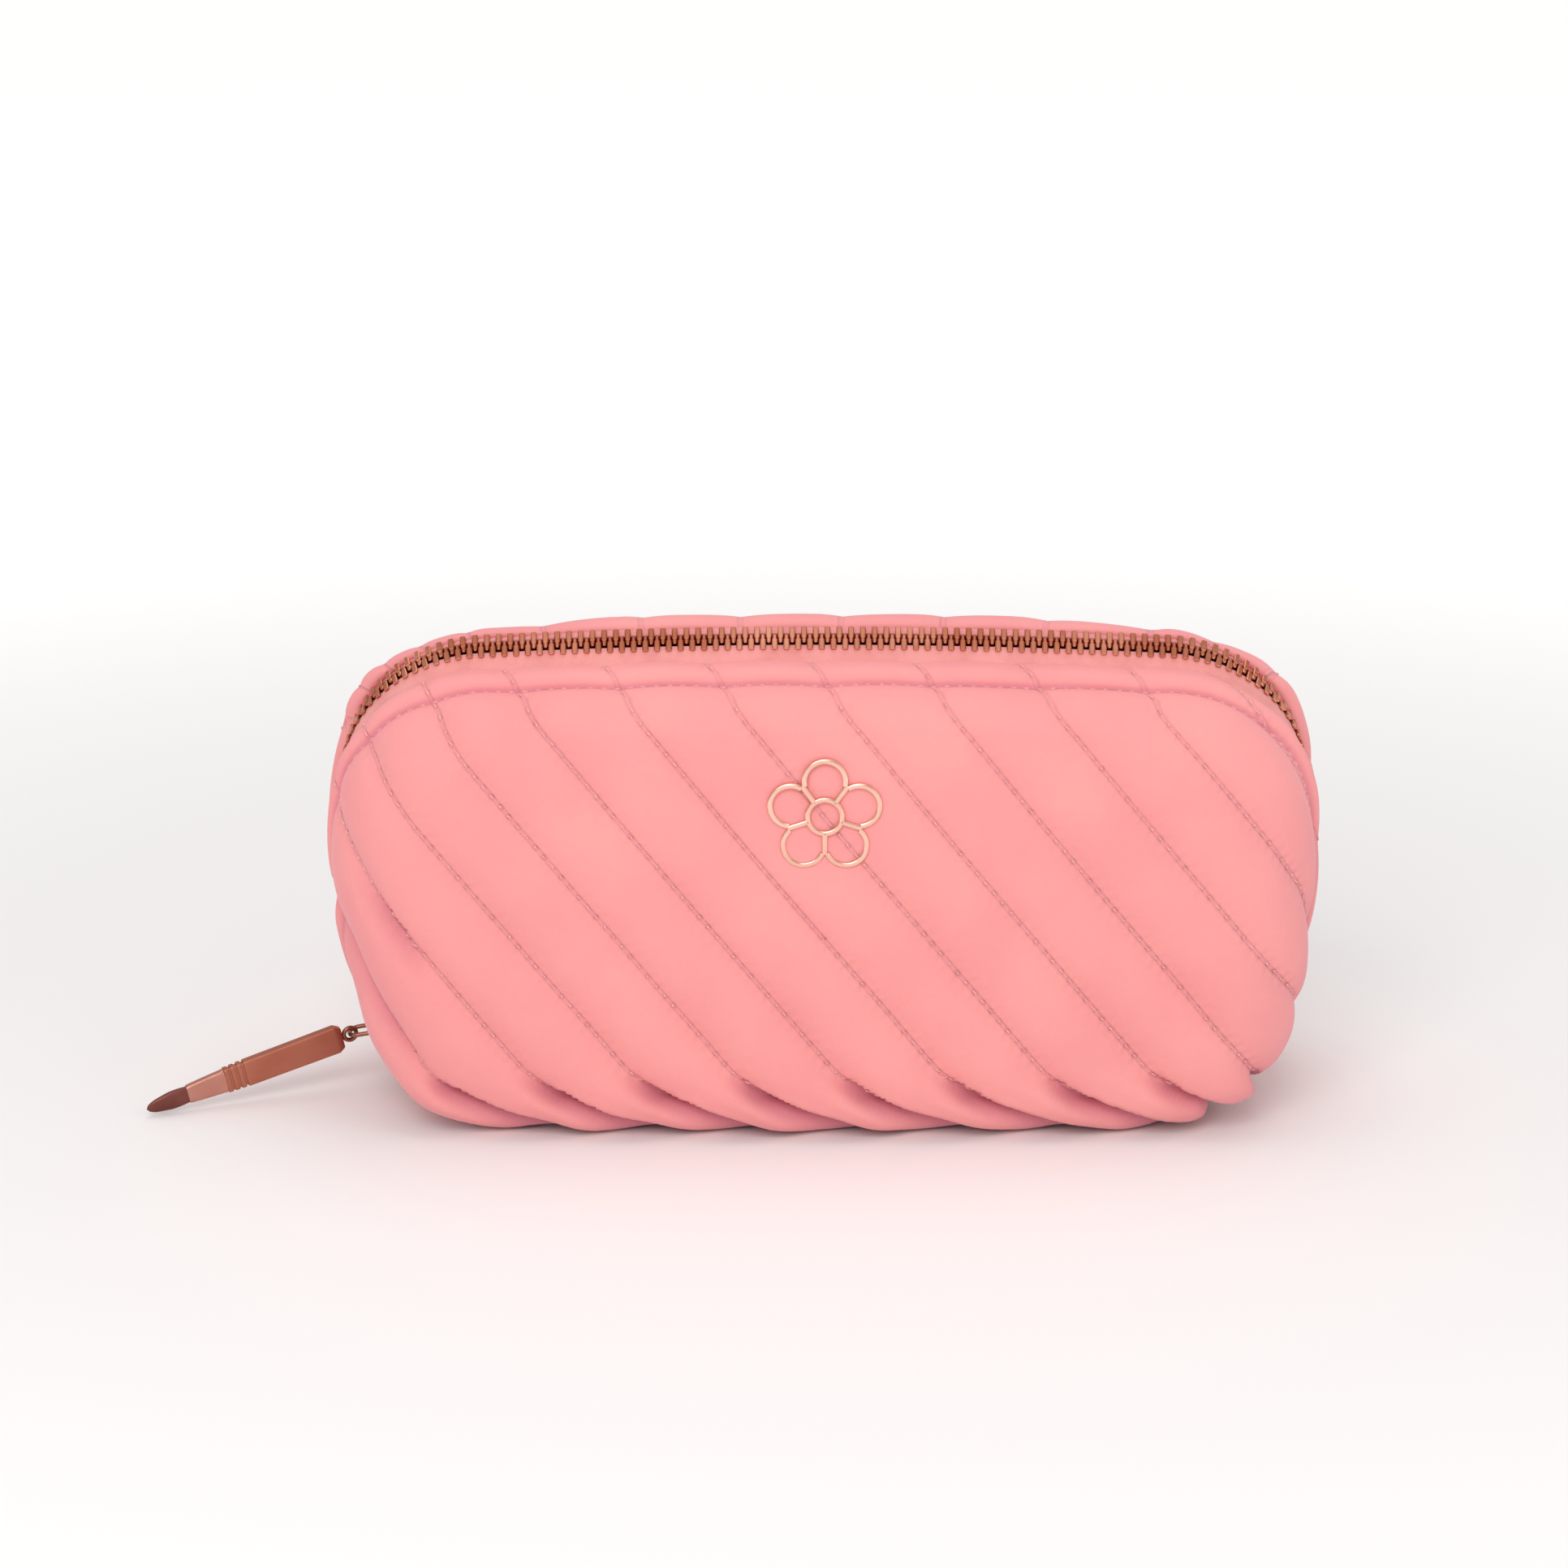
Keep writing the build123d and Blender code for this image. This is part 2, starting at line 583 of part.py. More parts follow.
def main():
    """Writes each piece as a STEP file."""
    os.makedirs("parts", exist_ok=True)
    front = front_sections()
    back = back_sections()
    face_cloth, wadding, lining = layer_insets()
    nodes = {
        "front_cover": prong_holes(layer(front, *face_cloth, -1, HINGE_HEIGHT)),
        "front_wadding": prong_holes(layer(front, *wadding, -1, HINGE_HEIGHT)),
        "front_lining": prong_holes(layer(front, *lining, -1, HINGE_HEIGHT)),
        "back_cover": layer(back, *face_cloth, 1, FACE_CLOTH + LAYER_GAP),
        "back_wadding": layer(back, *wadding, 1, FACE_CLOTH + LAYER_GAP),
        "back_lining": layer(back, *lining, 1, FACE_CLOTH + LAYER_GAP),
        "base_cover": base_plate(0, FACE_CLOTH, 0),
        "base_wadding": base_plate(FACE_CLOTH + LAYER_GAP, WADDING, COVER_STACK + SEWN_GAP),
        "base_lining": base_plate(
            FACE_CLOTH + WADDING + 2 * LAYER_GAP, LINING, COVER_STACK + SEWN_GAP
        ),
        "zip_tape_front": tape(1),
        "zip_tape_back": tape(-1),
        "zip_teeth_front": teeth(1),
        "zip_teeth_back": teeth(-1),
        "zip_top_stop_front": top_stop(1),
        "zip_top_stop_back": top_stop(-1),
        "zip_bottom_stop": bottom_stop(),
        "slider_body": slider_body(),
        "slider_bail": slider_bail(),
        "pull_ring": pull_ring(),
        "pull_eye": pull_eye(),
        "pull_handle": pull_handle(),
        "pull_ferrule": pull_ferrule(),
        "pull_tip": pull_tip(),
        "emblem": emblem(),
        "emblem_washer": emblem_washer(),
    }
    for name, shape in nodes.items():
        export_step(shape, f"parts/{name}.step")


main()
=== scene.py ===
"""Quilted velvet makeup bag: finished meshes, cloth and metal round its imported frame."""

import enum
import logging
import math
from collections.abc import Callable, Sequence
from dataclasses import dataclass, field

import bmesh
import bpy
import numpy as np
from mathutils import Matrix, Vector
from mathutils.bvhtree import BVHTree


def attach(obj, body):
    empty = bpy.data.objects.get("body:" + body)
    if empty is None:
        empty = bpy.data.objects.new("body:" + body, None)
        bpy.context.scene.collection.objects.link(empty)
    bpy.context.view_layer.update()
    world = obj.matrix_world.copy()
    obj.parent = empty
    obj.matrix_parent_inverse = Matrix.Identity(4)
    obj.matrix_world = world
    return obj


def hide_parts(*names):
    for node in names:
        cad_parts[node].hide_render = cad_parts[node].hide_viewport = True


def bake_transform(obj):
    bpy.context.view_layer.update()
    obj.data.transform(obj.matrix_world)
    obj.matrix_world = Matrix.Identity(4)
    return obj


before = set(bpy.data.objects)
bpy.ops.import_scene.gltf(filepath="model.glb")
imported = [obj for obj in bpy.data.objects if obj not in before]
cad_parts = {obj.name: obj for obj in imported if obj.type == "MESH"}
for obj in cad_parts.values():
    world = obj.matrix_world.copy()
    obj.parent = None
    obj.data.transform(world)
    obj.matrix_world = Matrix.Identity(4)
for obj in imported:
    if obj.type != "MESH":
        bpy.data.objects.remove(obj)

MM = 0.001
LOG = logging.getLogger("makeup_bag")
Array = np.ndarray


class Side(enum.Enum):
    """Which half of the bag a piece belongs to: its sign points from the zip to the panel."""

    FRONT = 1
    BACK = -1

    @property
    def body(self) -> str:
        """Name of the moving body that carries this half."""
        return "front_half" if self is Side.FRONT else "back_half"

    @property
    def label(self) -> str:
        """Prefix used in the names of this half's pieces."""
        return self.name.lower()


# ------------------------------------------------------------------ small mesh helpers
def select_nothing() -> None:
    """Leave edit mode and deselect every object."""
    if bpy.context.object and bpy.context.object.mode != "OBJECT":
        bpy.ops.object.mode_set(mode="OBJECT")
    bpy.ops.object.select_all(action="DESELECT")


def newest(name: str) -> bpy.types.Object:
    """Name the object that an operator has just added, and return it."""
    piece = bpy.context.object
    piece.name = name
    piece.data.name = name
    return piece


def settle(piece: bpy.types.Object) -> bpy.types.Object:
    """Move a piece's place, turn and size into its mesh."""
    piece.data.transform(piece.matrix_world)
    piece.matrix_world.identity()
    piece.data.update()
    return piece


def get_points(mesh: bpy.types.Mesh) -> Array:
    """Vertex positions of a mesh as an (n, 3) array."""
    points = np.empty(len(mesh.vertices) * 3)
    mesh.vertices.foreach_get("co", points)
    return points.reshape(-1, 3)


def set_points(mesh: bpy.types.Mesh, points: Array) -> None:
    """Place a mesh's vertices."""
    mesh.vertices.foreach_set("co", np.ascontiguousarray(points, np.float32).ravel())
    mesh.update()


def add_modifier(piece: bpy.types.Object, kind: str, **settings: object) -> None:
    """Add a modifier to a piece and apply it at once.

    Args:
        piece: the piece to change.
        kind: Blender's name for the modifier.
        settings: the modifier's own values.
    """
    select_nothing()
    piece.select_set(True)
    bpy.context.view_layer.objects.active = piece
    modifier = piece.modifiers.new(kind.title(), kind)
    for key, value in settings.items():
        setattr(modifier, key, value)
    bpy.ops.object.modifier_apply(modifier=modifier.name)


def smooth(piece: bpy.types.Object, angle: float | None = None) -> None:
    """Shade a piece smooth, keeping edges sharper than the angle in degrees."""
    select_nothing()
    piece.select_set(True)
    bpy.context.view_layer.objects.active = piece
    if angle is None:
        bpy.ops.object.shade_smooth()
    else:
        bpy.ops.object.shade_smooth_by_angle(angle=math.radians(angle))


def mend(piece: bpy.types.Object, distance: float = 1e-6) -> None:
    """Merge doubled vertices and turn every face outwards."""
    select_nothing()
    piece.select_set(True)
    bpy.context.view_layer.objects.active = piece
    bpy.ops.object.mode_set(mode="EDIT")
    bpy.ops.mesh.select_all(action="SELECT")
    bpy.ops.mesh.remove_doubles(threshold=distance)
    bpy.ops.mesh.normals_make_consistent(inside=False)
    bpy.ops.object.mode_set(mode="OBJECT")


def grid_piece(name: str, points: Array) -> bpy.types.Object:
    """Sheet of quads through a (rows, columns, 3) array of points.

    Args:
        name: the piece's name.
        points: where each vertex of the grid lies, in metres.

    Returns:
        The new piece, whose vertices run column by column along each row.
    """
    rows, columns = points.shape[:2]
    select_nothing()
    bpy.ops.mesh.primitive_grid_add(x_subdivisions=columns - 1, y_subdivisions=rows - 1, size=1.0)
    piece = newest(name)
    flat = get_points(piece.data)
    flat = (flat - flat.min(axis=0)) / np.maximum(np.ptp(flat, axis=0), 1e-9)
    column = np.rint(flat[:, 0] * (columns - 1)).astype(int)
    row = np.rint(flat[:, 1] * (rows - 1)).astype(int)
    set_points(piece.data, points[row, column])
    place = np.stack([column / (columns - 1), row / (rows - 1)], axis=1)
    keep_grid_places(piece, place)
    return piece


def keep_grid_places(piece: bpy.types.Object, place: Array) -> None:
    """Keep each vertex's place in its grid as an attribute that later steps read."""
    attribute = piece.data.attributes.new("grid_place", "FLOAT2", "POINT")
    attribute.data.foreach_set("vector", np.ascontiguousarray(place, np.float32).ravel())


def add_point_value(piece: bpy.types.Object, name: str, values: Array) -> None:
    """Give each vertex a number that a finish can read."""
    attribute = piece.data.attributes.get(name) or piece.data.attributes.new(name, "FLOAT", "POINT")
    attribute.data.foreach_set("value", np.ascontiguousarray(values, np.float32))


def add_pattern_map(piece: bpy.types.Object, places: Array) -> None:
    """Lay a UV map from one flat-cloth place, in metres, for each vertex."""
    layer = piece.data.uv_layers.get("cloth") or piece.data.uv_layers.new(name="cloth")
    corners = np.empty(len(piece.data.loops), int)
    piece.data.loops.foreach_get("vertex_index", corners)
    layer.data.foreach_set("uv", np.ascontiguousarray(places[corners], np.float32).ravel())


def repeat_piece(
    name: str, template: bpy.types.Object, frames: Sequence[tuple[Array, Array]]
) -> bpy.types.Object:
    """Copy a template's mesh to many places and join the copies as one piece.

    Args:
        name: the new piece's name.
        template: the piece to copy; it is removed afterwards.
        frames: for each copy, its origin and the three axes as rows.

    Returns:
        One piece that holds every copy.
    """
    shape = get_points(template.data)
    faces = [tuple(face.vertices) for face in template.data.polygons]
    points = []
    polygons = []
    for index, (origin, axes) in enumerate(frames):
        points.append(origin + shape @ axes)
        base = index * len(shape)
        polygons.extend(tuple(base + i for i in face) for face in faces)
    mesh = bpy.data.meshes.new(name)
    mesh.from_pydata(np.concatenate(points).tolist(), [], polygons)
    mesh.update()
    bpy.data.objects.remove(template, do_unlink=True)
    piece = bpy.data.objects.new(name, mesh)
    bpy.context.collection.objects.link(piece)
    return piece


def skin(name: str, rings: Array, capped: bool = True) -> bpy.types.Object:
    """Closed skin over a run of rings, with a cloth map along and round it.

    Args:
        name: the piece's name.
        rings: (rings, points, 3) places in metres; each ring is closed.
        capped: whether the first and last rings are closed with a fan.

    Returns:
        The welded piece, its faces turned outwards.
    """
    wrapped = np.concatenate([rings, rings[:, :1]], axis=1)
    if capped:
        first = np.broadcast_to(rings[0].mean(axis=0), wrapped[:1].shape)
        last = np.broadcast_to(rings[-1].mean(axis=0), wrapped[:1].shape)
        wrapped = np.concatenate([first, wrapped, last])
    piece = grid_piece(name, wrapped)
    row, column = grid_rows(piece, *wrapped.shape[:2])
    along = run_of(wrapped.mean(axis=1))
    round_ = run_of(wrapped[len(wrapped) // 2])
    add_pattern_map(piece, np.stack([along[row], round_[column]], axis=1))
    mend(piece, 1e-6)
    return piece


def grid_rows(piece: bpy.types.Object, rows: int, columns: int) -> tuple[Array, Array]:
    """Row and column of each vertex of a piece made by grid_piece."""
    place = np.empty(len(piece.data.vertices) * 2, np.float32)
    piece.data.attributes["grid_place"].data.foreach_get("vector", place)
    place = place.reshape(-1, 2)
    column = np.rint(place[:, 0] * (columns - 1)).astype(int)
    row = np.rint(place[:, 1] * (rows - 1)).astype(int)
    return row, column


def run_of(points: Array) -> Array:
    """Distance along a line of points, from its first one."""
    steps = np.linalg.norm(np.diff(points, axis=0), axis=1)
    return np.concatenate([[0.0], np.cumsum(steps)])


def ribbon(
    name: str,
    path: Array,
    side: Array,
    half_width: float | Array,
    half_thick: float | Array,
    power: float = 2.0,
    points: int = 14,
    closed: bool = False,
) -> bpy.types.Object:
    """Bar of rounded section swept along a path.

    Args:
        name: the piece's name.
        path: (n, 3) middle line, in metres.
        side: (n, 3) or (3,) way across the bar's width.
        half_width: half of its width, one value or one for each point.
        half_thick: half of its thickness, likewise.
        power: 2 gives an ellipse, more gives a squarer section.
        points: points round the section.
        closed: whether the path is a loop.

    Returns:
        The new piece.
    """
    path = np.asarray(path, float)
    side = unit(np.broadcast_to(np.asarray(side, float), path.shape))
    if closed:
        tangent = unit(np.roll(path, -1, axis=0) - np.roll(path, 1, axis=0))
    else:
        tangent = unit(np.gradient(path, axis=0))
    normal = unit(np.cross(tangent, side))
    turn = np.linspace(0, 2 * math.pi, points, endpoint=False) + math.pi / points
    shape = np.stack([np.cos(turn), np.sin(turn)], axis=1)
    shape = np.sign(shape) * np.abs(shape) ** (2 / power)
    wide = np.broadcast_to(np.asarray(half_width, float), path.shape[:1])[:, None, None]
    thick = np.broadcast_to(np.asarray(half_thick, float), path.shape[:1])[:, None, None]
    rings = path[:, None] + side[:, None] * shape[None, :, :1] * wide
    rings = rings + normal[:, None] * shape[None, :, 1:] * thick
    if closed:
        rings = np.concatenate([rings, rings[:1]])
    return skin(name, rings, capped=not closed)


def join(name: str, parts: Sequence[bpy.types.Object]) -> bpy.types.Object:
    """Join parts of one material as one piece."""
    select_nothing()
    for part in parts:
        part.select_set(True)
    bpy.context.view_layer.objects.active = parts[0]
    bpy.ops.object.join()
    return newest(name)


def unit(vectors: Array) -> Array:
    """Vectors of length one, along the last axis."""
    return vectors / np.maximum(np.linalg.norm(vectors, axis=-1, keepdims=True), 1e-12)


def ease(value: Array | float) -> Array | float:
    """Smooth step from 0 at 0 to 1 at 1."""
    clipped = np.clip(value, 0.0, 1.0)
    return clipped * clipped * (3 - 2 * clipped)


# ------------------------------------------------------------------ finishes
@dataclass(frozen=True)
class Finish:
    """Base of every finish: a name, and a node tree built once."""

    name: str

    def material(self) -> bpy.types.Material:
        """Return the finish's material, building it the first time."""
        found = bpy.data.materials.get(self.name)
        if found:
            return found
        made = bpy.data.materials.new(self.name)
        made.use_nodes = True
        self.paint(made.node_tree, made.node_tree.nodes["Principled BSDF"])
        return made

    def paint(self, tree: bpy.types.NodeTree, shader: bpy.types.Node) -> None:
        """Build the nodes; each finish has its own."""
        raise NotImplementedError

    def dress(self, piece: bpy.types.Object) -> None:
        """Give a piece this finish."""
        piece.data.materials.clear()
        piece.data.materials.append(self.material())


def node(tree: bpy.types.NodeTree, kind: str, **values: object) -> bpy.types.Node:
    """Add a node; a value named for an input sets that input, and any other sets a property."""
    made = tree.nodes.new(kind)
    for key, value in values.items():
        label = key.replace("_", " ").title()
        if label in made.inputs:
            made.inputs[label].default_value = value
        else:
            setattr(made, key, value)
    return made


def linked_ramp(tree: bpy.types.NodeTree, source: bpy.types.NodeSocket, stops: Sequence) -> bpy.types.Node:
    """Colour ramp fed by a socket.  stops are (place, colour) pairs."""
    ramp = node(tree, "ShaderNodeValToRGB")
    elements = ramp.color_ramp.elements
    while len(elements) < len(stops):
        elements.new(0.5)
    for element, (place, colour) in zip(elements, stops):
        element.position = place
        element.color = (*colour, 1.0)
    tree.links.new(source, ramp.inputs["Fac"])
    return ramp


def mix_colours(
    tree: bpy.types.NodeTree,
    share: bpy.types.NodeSocket,
    first: bpy.types.NodeSocket,
    second: Sequence[float],
) -> bpy.types.NodeSocket:
    """Mix a socket's colour with a fixed one by a share, and return the result."""
    mix = node(tree, "ShaderNodeMix", data_type="RGBA", blend_type="MIX")
    tree.links.new(share, mix.inputs["Factor"])
    tree.links.new(first, mix.inputs["A"])
    mix.inputs["B"].default_value = (*second, 1.0)
    return mix.outputs["Result"]


def math_node(
    tree: bpy.types.NodeTree, operation: str, first: object, second: object
) -> bpy.types.NodeSocket:
    """Arithmetic on two sockets or numbers."""
    made = node(tree, "ShaderNodeMath", operation=operation)
    for slot, value in enumerate((first, second)):
        if isinstance(value, (int, float)):
            made.inputs[slot].default_value = value
        else:
            tree.links.new(value, made.inputs[slot])
    return made.outputs["Value"]


def bump(
    tree: bpy.types.NodeTree,
    height: bpy.types.NodeSocket,
    strength: float,
    depth: float,
    below: bpy.types.Node | None = None,
) -> bpy.types.Node:
    """Bump node, stacked on another when one is given.  depth is in metres."""
    made = node(tree, "ShaderNodeBump", strength=strength, distance=depth)
    tree.links.new(height, made.inputs["Height"])
    if below:
        tree.links.new(below.outputs["Normal"], made.inputs["Normal"])
    return made


@dataclass(frozen=True)
class Velvet(Finish):
    """Short matte pile: soft colour drift, painted shade in creases and along seams, pale grazing sheen and
    fine nap.
    """

    colour: tuple[float, float, float] = (0.91, 0.360, 0.346)
    shade: tuple[float, float, float] = (0.80, 0.26, 0.28)
    # Colour of the painted shade in creases, folds and along the seams.
    painted_shade: tuple[float, float, float] = (0.60, 0.19, 0.27)
    sheen: tuple[float, float, float] = (1.0, 0.72, 0.84)
    sheen_weight: float = 0.36
    channel: float = 17.0 * MM
    stitch: float = 2.8 * MM

    def paint(self, tree: bpy.types.NodeTree, shader: bpy.types.Node) -> None:
        """Nap from two scales of noise; painted shade in creases, seams, folds and towards the sides and
        foot, from the cover's own vertex values.
        """
        links = tree.links
        place = node(tree, "ShaderNodeTexCoord").outputs["Object"]
        drift = node(tree, "ShaderNodeTexNoise", scale=38.0, detail=3.0)
        links.new(place, drift.inputs["Vector"])
        base = linked_ramp(tree, drift.outputs["Fac"], [(0.35, self.shade), (0.62, self.colour)])
        soft = node(tree, "ShaderNodeMix", data_type="RGBA")
        soft.inputs["Factor"].default_value = 0.32
        soft.inputs["A"].default_value = (*self.colour, 1.0)
        links.new(base.outputs["Color"], soft.inputs["B"])
        nap = node(tree, "ShaderNodeTexNoise", scale=2600.0, detail=2.0)
        links.new(place, nap.inputs["Vector"])
        brushed = node(tree, "ShaderNodeTexNoise", scale=420.0, detail=4.0, roughness=0.6)
        links.new(place, brushed.inputs["Vector"])
        fleck = math_node(tree, "MULTIPLY", brushed.outputs["Fac"], 0.16)
        toned = mix_colours(tree, fleck, soft.outputs["Result"], self.shade)
        # Painted shade: the cover's vertex values darken the cloth towards the shade colour in the groove, at
        # the rim, in fold pockets and towards the sides and foot.
        depth = node(tree, "ShaderNodeAttribute", attribute_name="painted_shade")
        painted_shade_share = math_node(tree, "MULTIPLY", depth.outputs["Fac"], 0.5)
        coloured = mix_colours(tree, painted_shade_share, toned, self.painted_shade)
        seam, pucker = self.stitched(tree)
        # Painted shade along the seam lines.
        stitched = mix_colours(tree, math_node(tree, "MULTIPLY", seam, 0.14), coloured, self.painted_shade)
        links.new(stitched, shader.inputs["Base Color"])
        pile = bump(tree, nap.outputs["Fac"], 0.22, 0.0003)
        strokes = bump(tree, brushed.outputs["Fac"], 0.25, 0.0006, pile)
        drawn = bump(tree, math_node(tree, "SUBTRACT", pucker, seam), 0.6, 0.0005, strokes)
        links.new(drawn.outputs["Normal"], shader.inputs["Normal"])
        shader.inputs["Roughness"].default_value = 0.92
        shader.inputs["Specular IOR Level"].default_value = 0.15
        shader.inputs["Sheen Weight"].default_value = self.sheen_weight
        shader.inputs["Sheen Roughness"].default_value = 0.45
        shader.inputs["Sheen Tint"].default_value = (*self.sheen, 1.0)


    def stitched(self, tree: bpy.types.NodeTree) -> tuple[bpy.types.NodeSocket, bpy.types.NodeSocket]:
        """Mask of the seam lines, and the small puckers that the stitches draw beside them."""
        cloth = node(tree, "ShaderNodeUVMap", uv_map="cloth")
        split = node(tree, "ShaderNodeSeparateXYZ")
        tree.links.new(cloth.outputs["UV"], split.inputs["Vector"])
        distance = math_node(tree, "PINGPONG", split.outputs["X"], self.channel / 2)
        seam = self.falloff(tree, distance, 0.1 * MM, 0.75 * MM)
        near = self.falloff(tree, distance, 0.6 * MM, 3.2 * MM)
        turns = math_node(tree, "MULTIPLY", split.outputs["Y"], 2 * math.pi / self.stitch)
        wave = math_node(tree, "SINE", turns, 0.0)
        return seam, math_node(tree, "MULTIPLY", wave, math_node(tree, "MULTIPLY", near, 0.35))

    def falloff(
        self, tree: bpy.types.NodeTree, distance: bpy.types.NodeSocket, near: float, far: float
    ) -> bpy.types.NodeSocket:
        """1 up to the near distance and 0 beyond the far one."""
        spread = node(tree, "ShaderNodeMapRange", interpolation_type="SMOOTHSTEP")
        spread.inputs["From Min"].default_value = near
        spread.inputs["From Max"].default_value = far
        spread.inputs["To Min"].default_value = 1.0
        spread.inputs["To Max"].default_value = 0.0
        tree.links.new(distance, spread.inputs["Value"])
        return spread.outputs["Result"]


@dataclass(frozen=True)
class Woven(Finish):
    """Plain or twill cloth read from the piece's own cloth map."""

    colour: tuple[float, float, float] = (0.92, 0.37, 0.35)
    shade: tuple[float, float, float] = (0.80, 0.28, 0.26)
    thread: float = 0.45 * MM
    herringbone: bool = False
    sheen_weight: float = 0.15
    roughness: float = 0.8

    def paint(self, tree: bpy.types.NodeTree, shader: bpy.types.Node) -> None:
        """Warp and weft as crossed waves, with a slow drift of colour."""
        links = tree.links
        cloth = node(tree, "ShaderNodeUVMap", uv_map="cloth")
        split = node(tree, "ShaderNodeSeparateXYZ")
        links.new(cloth.outputs["UV"], split.inputs["Vector"])
        turns = 2 * math.pi / self.thread
        along = split.outputs["X"]
        across = split.outputs["Y"]
        if self.herringbone:
            zigzag = math_node(tree, "PINGPONG", across, 4 * self.thread)
            along = math_node(tree, "ADD", along, zigzag)
        warp = math_node(tree, "SINE", math_node(tree, "MULTIPLY", along, turns), 0.0)
        weft = math_node(tree, "SINE", math_node(tree, "MULTIPLY", across, turns), 0.0)
        weave = math_node(tree, "MULTIPLY", warp, weft) if not self.herringbone else warp
        level = math_node(tree, "MULTIPLY_ADD", weave, 0.5)
        level.node.inputs[2].default_value = 0.5
        place = node(tree, "ShaderNodeTexCoord").outputs["Object"]
        drift = node(tree, "ShaderNodeTexNoise", scale=120.0, detail=4.0)
        links.new(place, drift.inputs["Vector"])
        base = linked_ramp(tree, drift.outputs["Fac"], [(0.3, self.shade), (0.6, self.colour)])
        lit = mix_colours(tree, math_node(tree, "MULTIPLY", level, 0.35), base.outputs["Color"], self.shade)
        links.new(lit, shader.inputs["Base Color"])
        raised = bump(tree, level, 0.5, 0.0002)
        links.new(raised.outputs["Normal"], shader.inputs["Normal"])
        shader.inputs["Roughness"].default_value = self.roughness
        shader.inputs["Specular IOR Level"].default_value = 0.25
        shader.inputs["Sheen Weight"].default_value = self.sheen_weight
        shader.inputs["Sheen Roughness"].default_value = 0.5


@dataclass(frozen=True)
class Thread(Finish):
    """Twisted sewing thread."""

    colour: tuple[float, float, float] = (0.93, 0.42, 0.42)

    def paint(self, tree: bpy.types.NodeTree, shader: bpy.types.Node) -> None:
        """Fine noise stands for the twist."""
        links = tree.links
        place = node(tree, "ShaderNodeTexCoord").outputs["Object"]
        twist = node(tree, "ShaderNodeTexNoise", scale=1900.0, detail=2.0)
        links.new(place, twist.inputs["Vector"])
        darker = tuple(0.72 * c for c in self.colour)
        tone = linked_ramp(tree, twist.outputs["Fac"], [(0.35, darker), (0.65, self.colour)])
        links.new(tone.outputs["Color"], shader.inputs["Base Color"])
        ply = bump(tree, twist.outputs["Fac"], 0.4, 0.0001)
        links.new(ply.outputs["Normal"], shader.inputs["Normal"])
        shader.inputs["Roughness"].default_value = 0.55
        shader.inputs["Sheen Weight"].default_value = 0.3


@dataclass(frozen=True)
class Plated(Finish):
    """Plated metal with brushing, faint wear and smudges."""

    colour: tuple[float, float, float] = (0.80, 0.40, 0.28)
    worn: tuple[float, float, float] = (0.90, 0.56, 0.44)
    roughness: float = 0.25
    brushing: float = 0.0
    metallic: float = 1.0

    def paint(self, tree: bpy.types.NodeTree, shader: bpy.types.Node) -> None:
        """Colour and roughness vary with noise stretched along the brushing."""
        links = tree.links
        place = node(tree, "ShaderNodeTexCoord").outputs["Object"]
        stretch = node(tree, "ShaderNodeMapping")
        stretch.inputs["Scale"].default_value = (1.0, 1.0, 1.0 + 9.0 * self.brushing)
        links.new(place, stretch.inputs["Vector"])
        grain = node(tree, "ShaderNodeTexNoise", scale=700.0, detail=5.0)
        links.new(stretch.outputs["Vector"], grain.inputs["Vector"])
        smudge = node(tree, "ShaderNodeTexNoise", scale=90.0, detail=3.0)
        links.new(place, smudge.inputs["Vector"])
        tone = linked_ramp(tree, smudge.outputs["Fac"], [(0.4, self.colour), (0.75, self.worn)])
        links.new(tone.outputs["Color"], shader.inputs["Base Color"])
        spread = node(tree, "ShaderNodeMapRange")
        spread.inputs["To Min"].default_value = 0.75 * self.roughness
        spread.inputs["To Max"].default_value = 1.5 * self.roughness
        links.new(smudge.outputs["Fac"], spread.inputs["Value"])
        links.new(spread.outputs["Result"], shader.inputs["Roughness"])
        fine = bump(tree, grain.outputs["Fac"], 0.08 + 0.25 * self.brushing, 0.0001)
        links.new(fine.outputs["Normal"], shader.inputs["Normal"])
        shader.inputs["Metallic"].default_value = self.metallic


VELVET = Velvet("quilted_velvet")
TAPE_CLOTH = Woven("zip_tape_cloth", herringbone=True)
LINING_CLOTH = Woven(
    "lining_cloth", colour=(0.72, 0.30, 0.32), shade=(0.55, 0.20, 0.22), thread=0.7 * MM, roughness=0.5
)
STITCH_THREAD = Thread("stitch_thread")
# Teeth and stops: the copper's own tone, darkened and reddened as painted shade for the dark gap between the
# rows.
TEETH_METAL = Plated("teeth_plating", colour=(0.56, 0.18, 0.10), worn=(0.76, 0.34, 0.23), roughness=0.3)
SLIDER_METAL = Plated("slider_plating", colour=(0.80, 0.42, 0.30), worn=(0.92, 0.60, 0.48), roughness=0.22)
# Link and eye plating: a darker copy of the pull's plating, painted shade for the shaded link and eye.
SHADED_LINK_METAL = Plated("link_plating_painted_shade", colour=(0.30, 0.12, 0.08), worn=(0.45, 0.22, 0.16), roughness=0.3)
HANDLE_METAL = Plated(
    "handle_plating", colour=(0.46, 0.16, 0.10), worn=(0.54, 0.21, 0.14), roughness=0.4, brushing=1.0
)
FERRULE_METAL = Plated(
    "ferrule_plating", colour=(0.56, 0.25, 0.19), worn=(0.66, 0.34, 0.27), roughness=0.36, brushing=0.6
)
TIP_ENAMEL = Plated(
    "tip_enamel", colour=(0.15, 0.03, 0.022), worn=(0.24, 0.07, 0.05), roughness=0.35, metallic=0.3
)
BADGE_METAL = Plated("badge_plating", colour=(0.86, 0.48, 0.37), worn=(0.95, 0.62, 0.50), roughness=0.22)
WASHER_METAL = Plated("washer_metal", colour=(0.66, 0.66, 0.68), worn=(0.8, 0.8, 0.8), roughness=0.4)


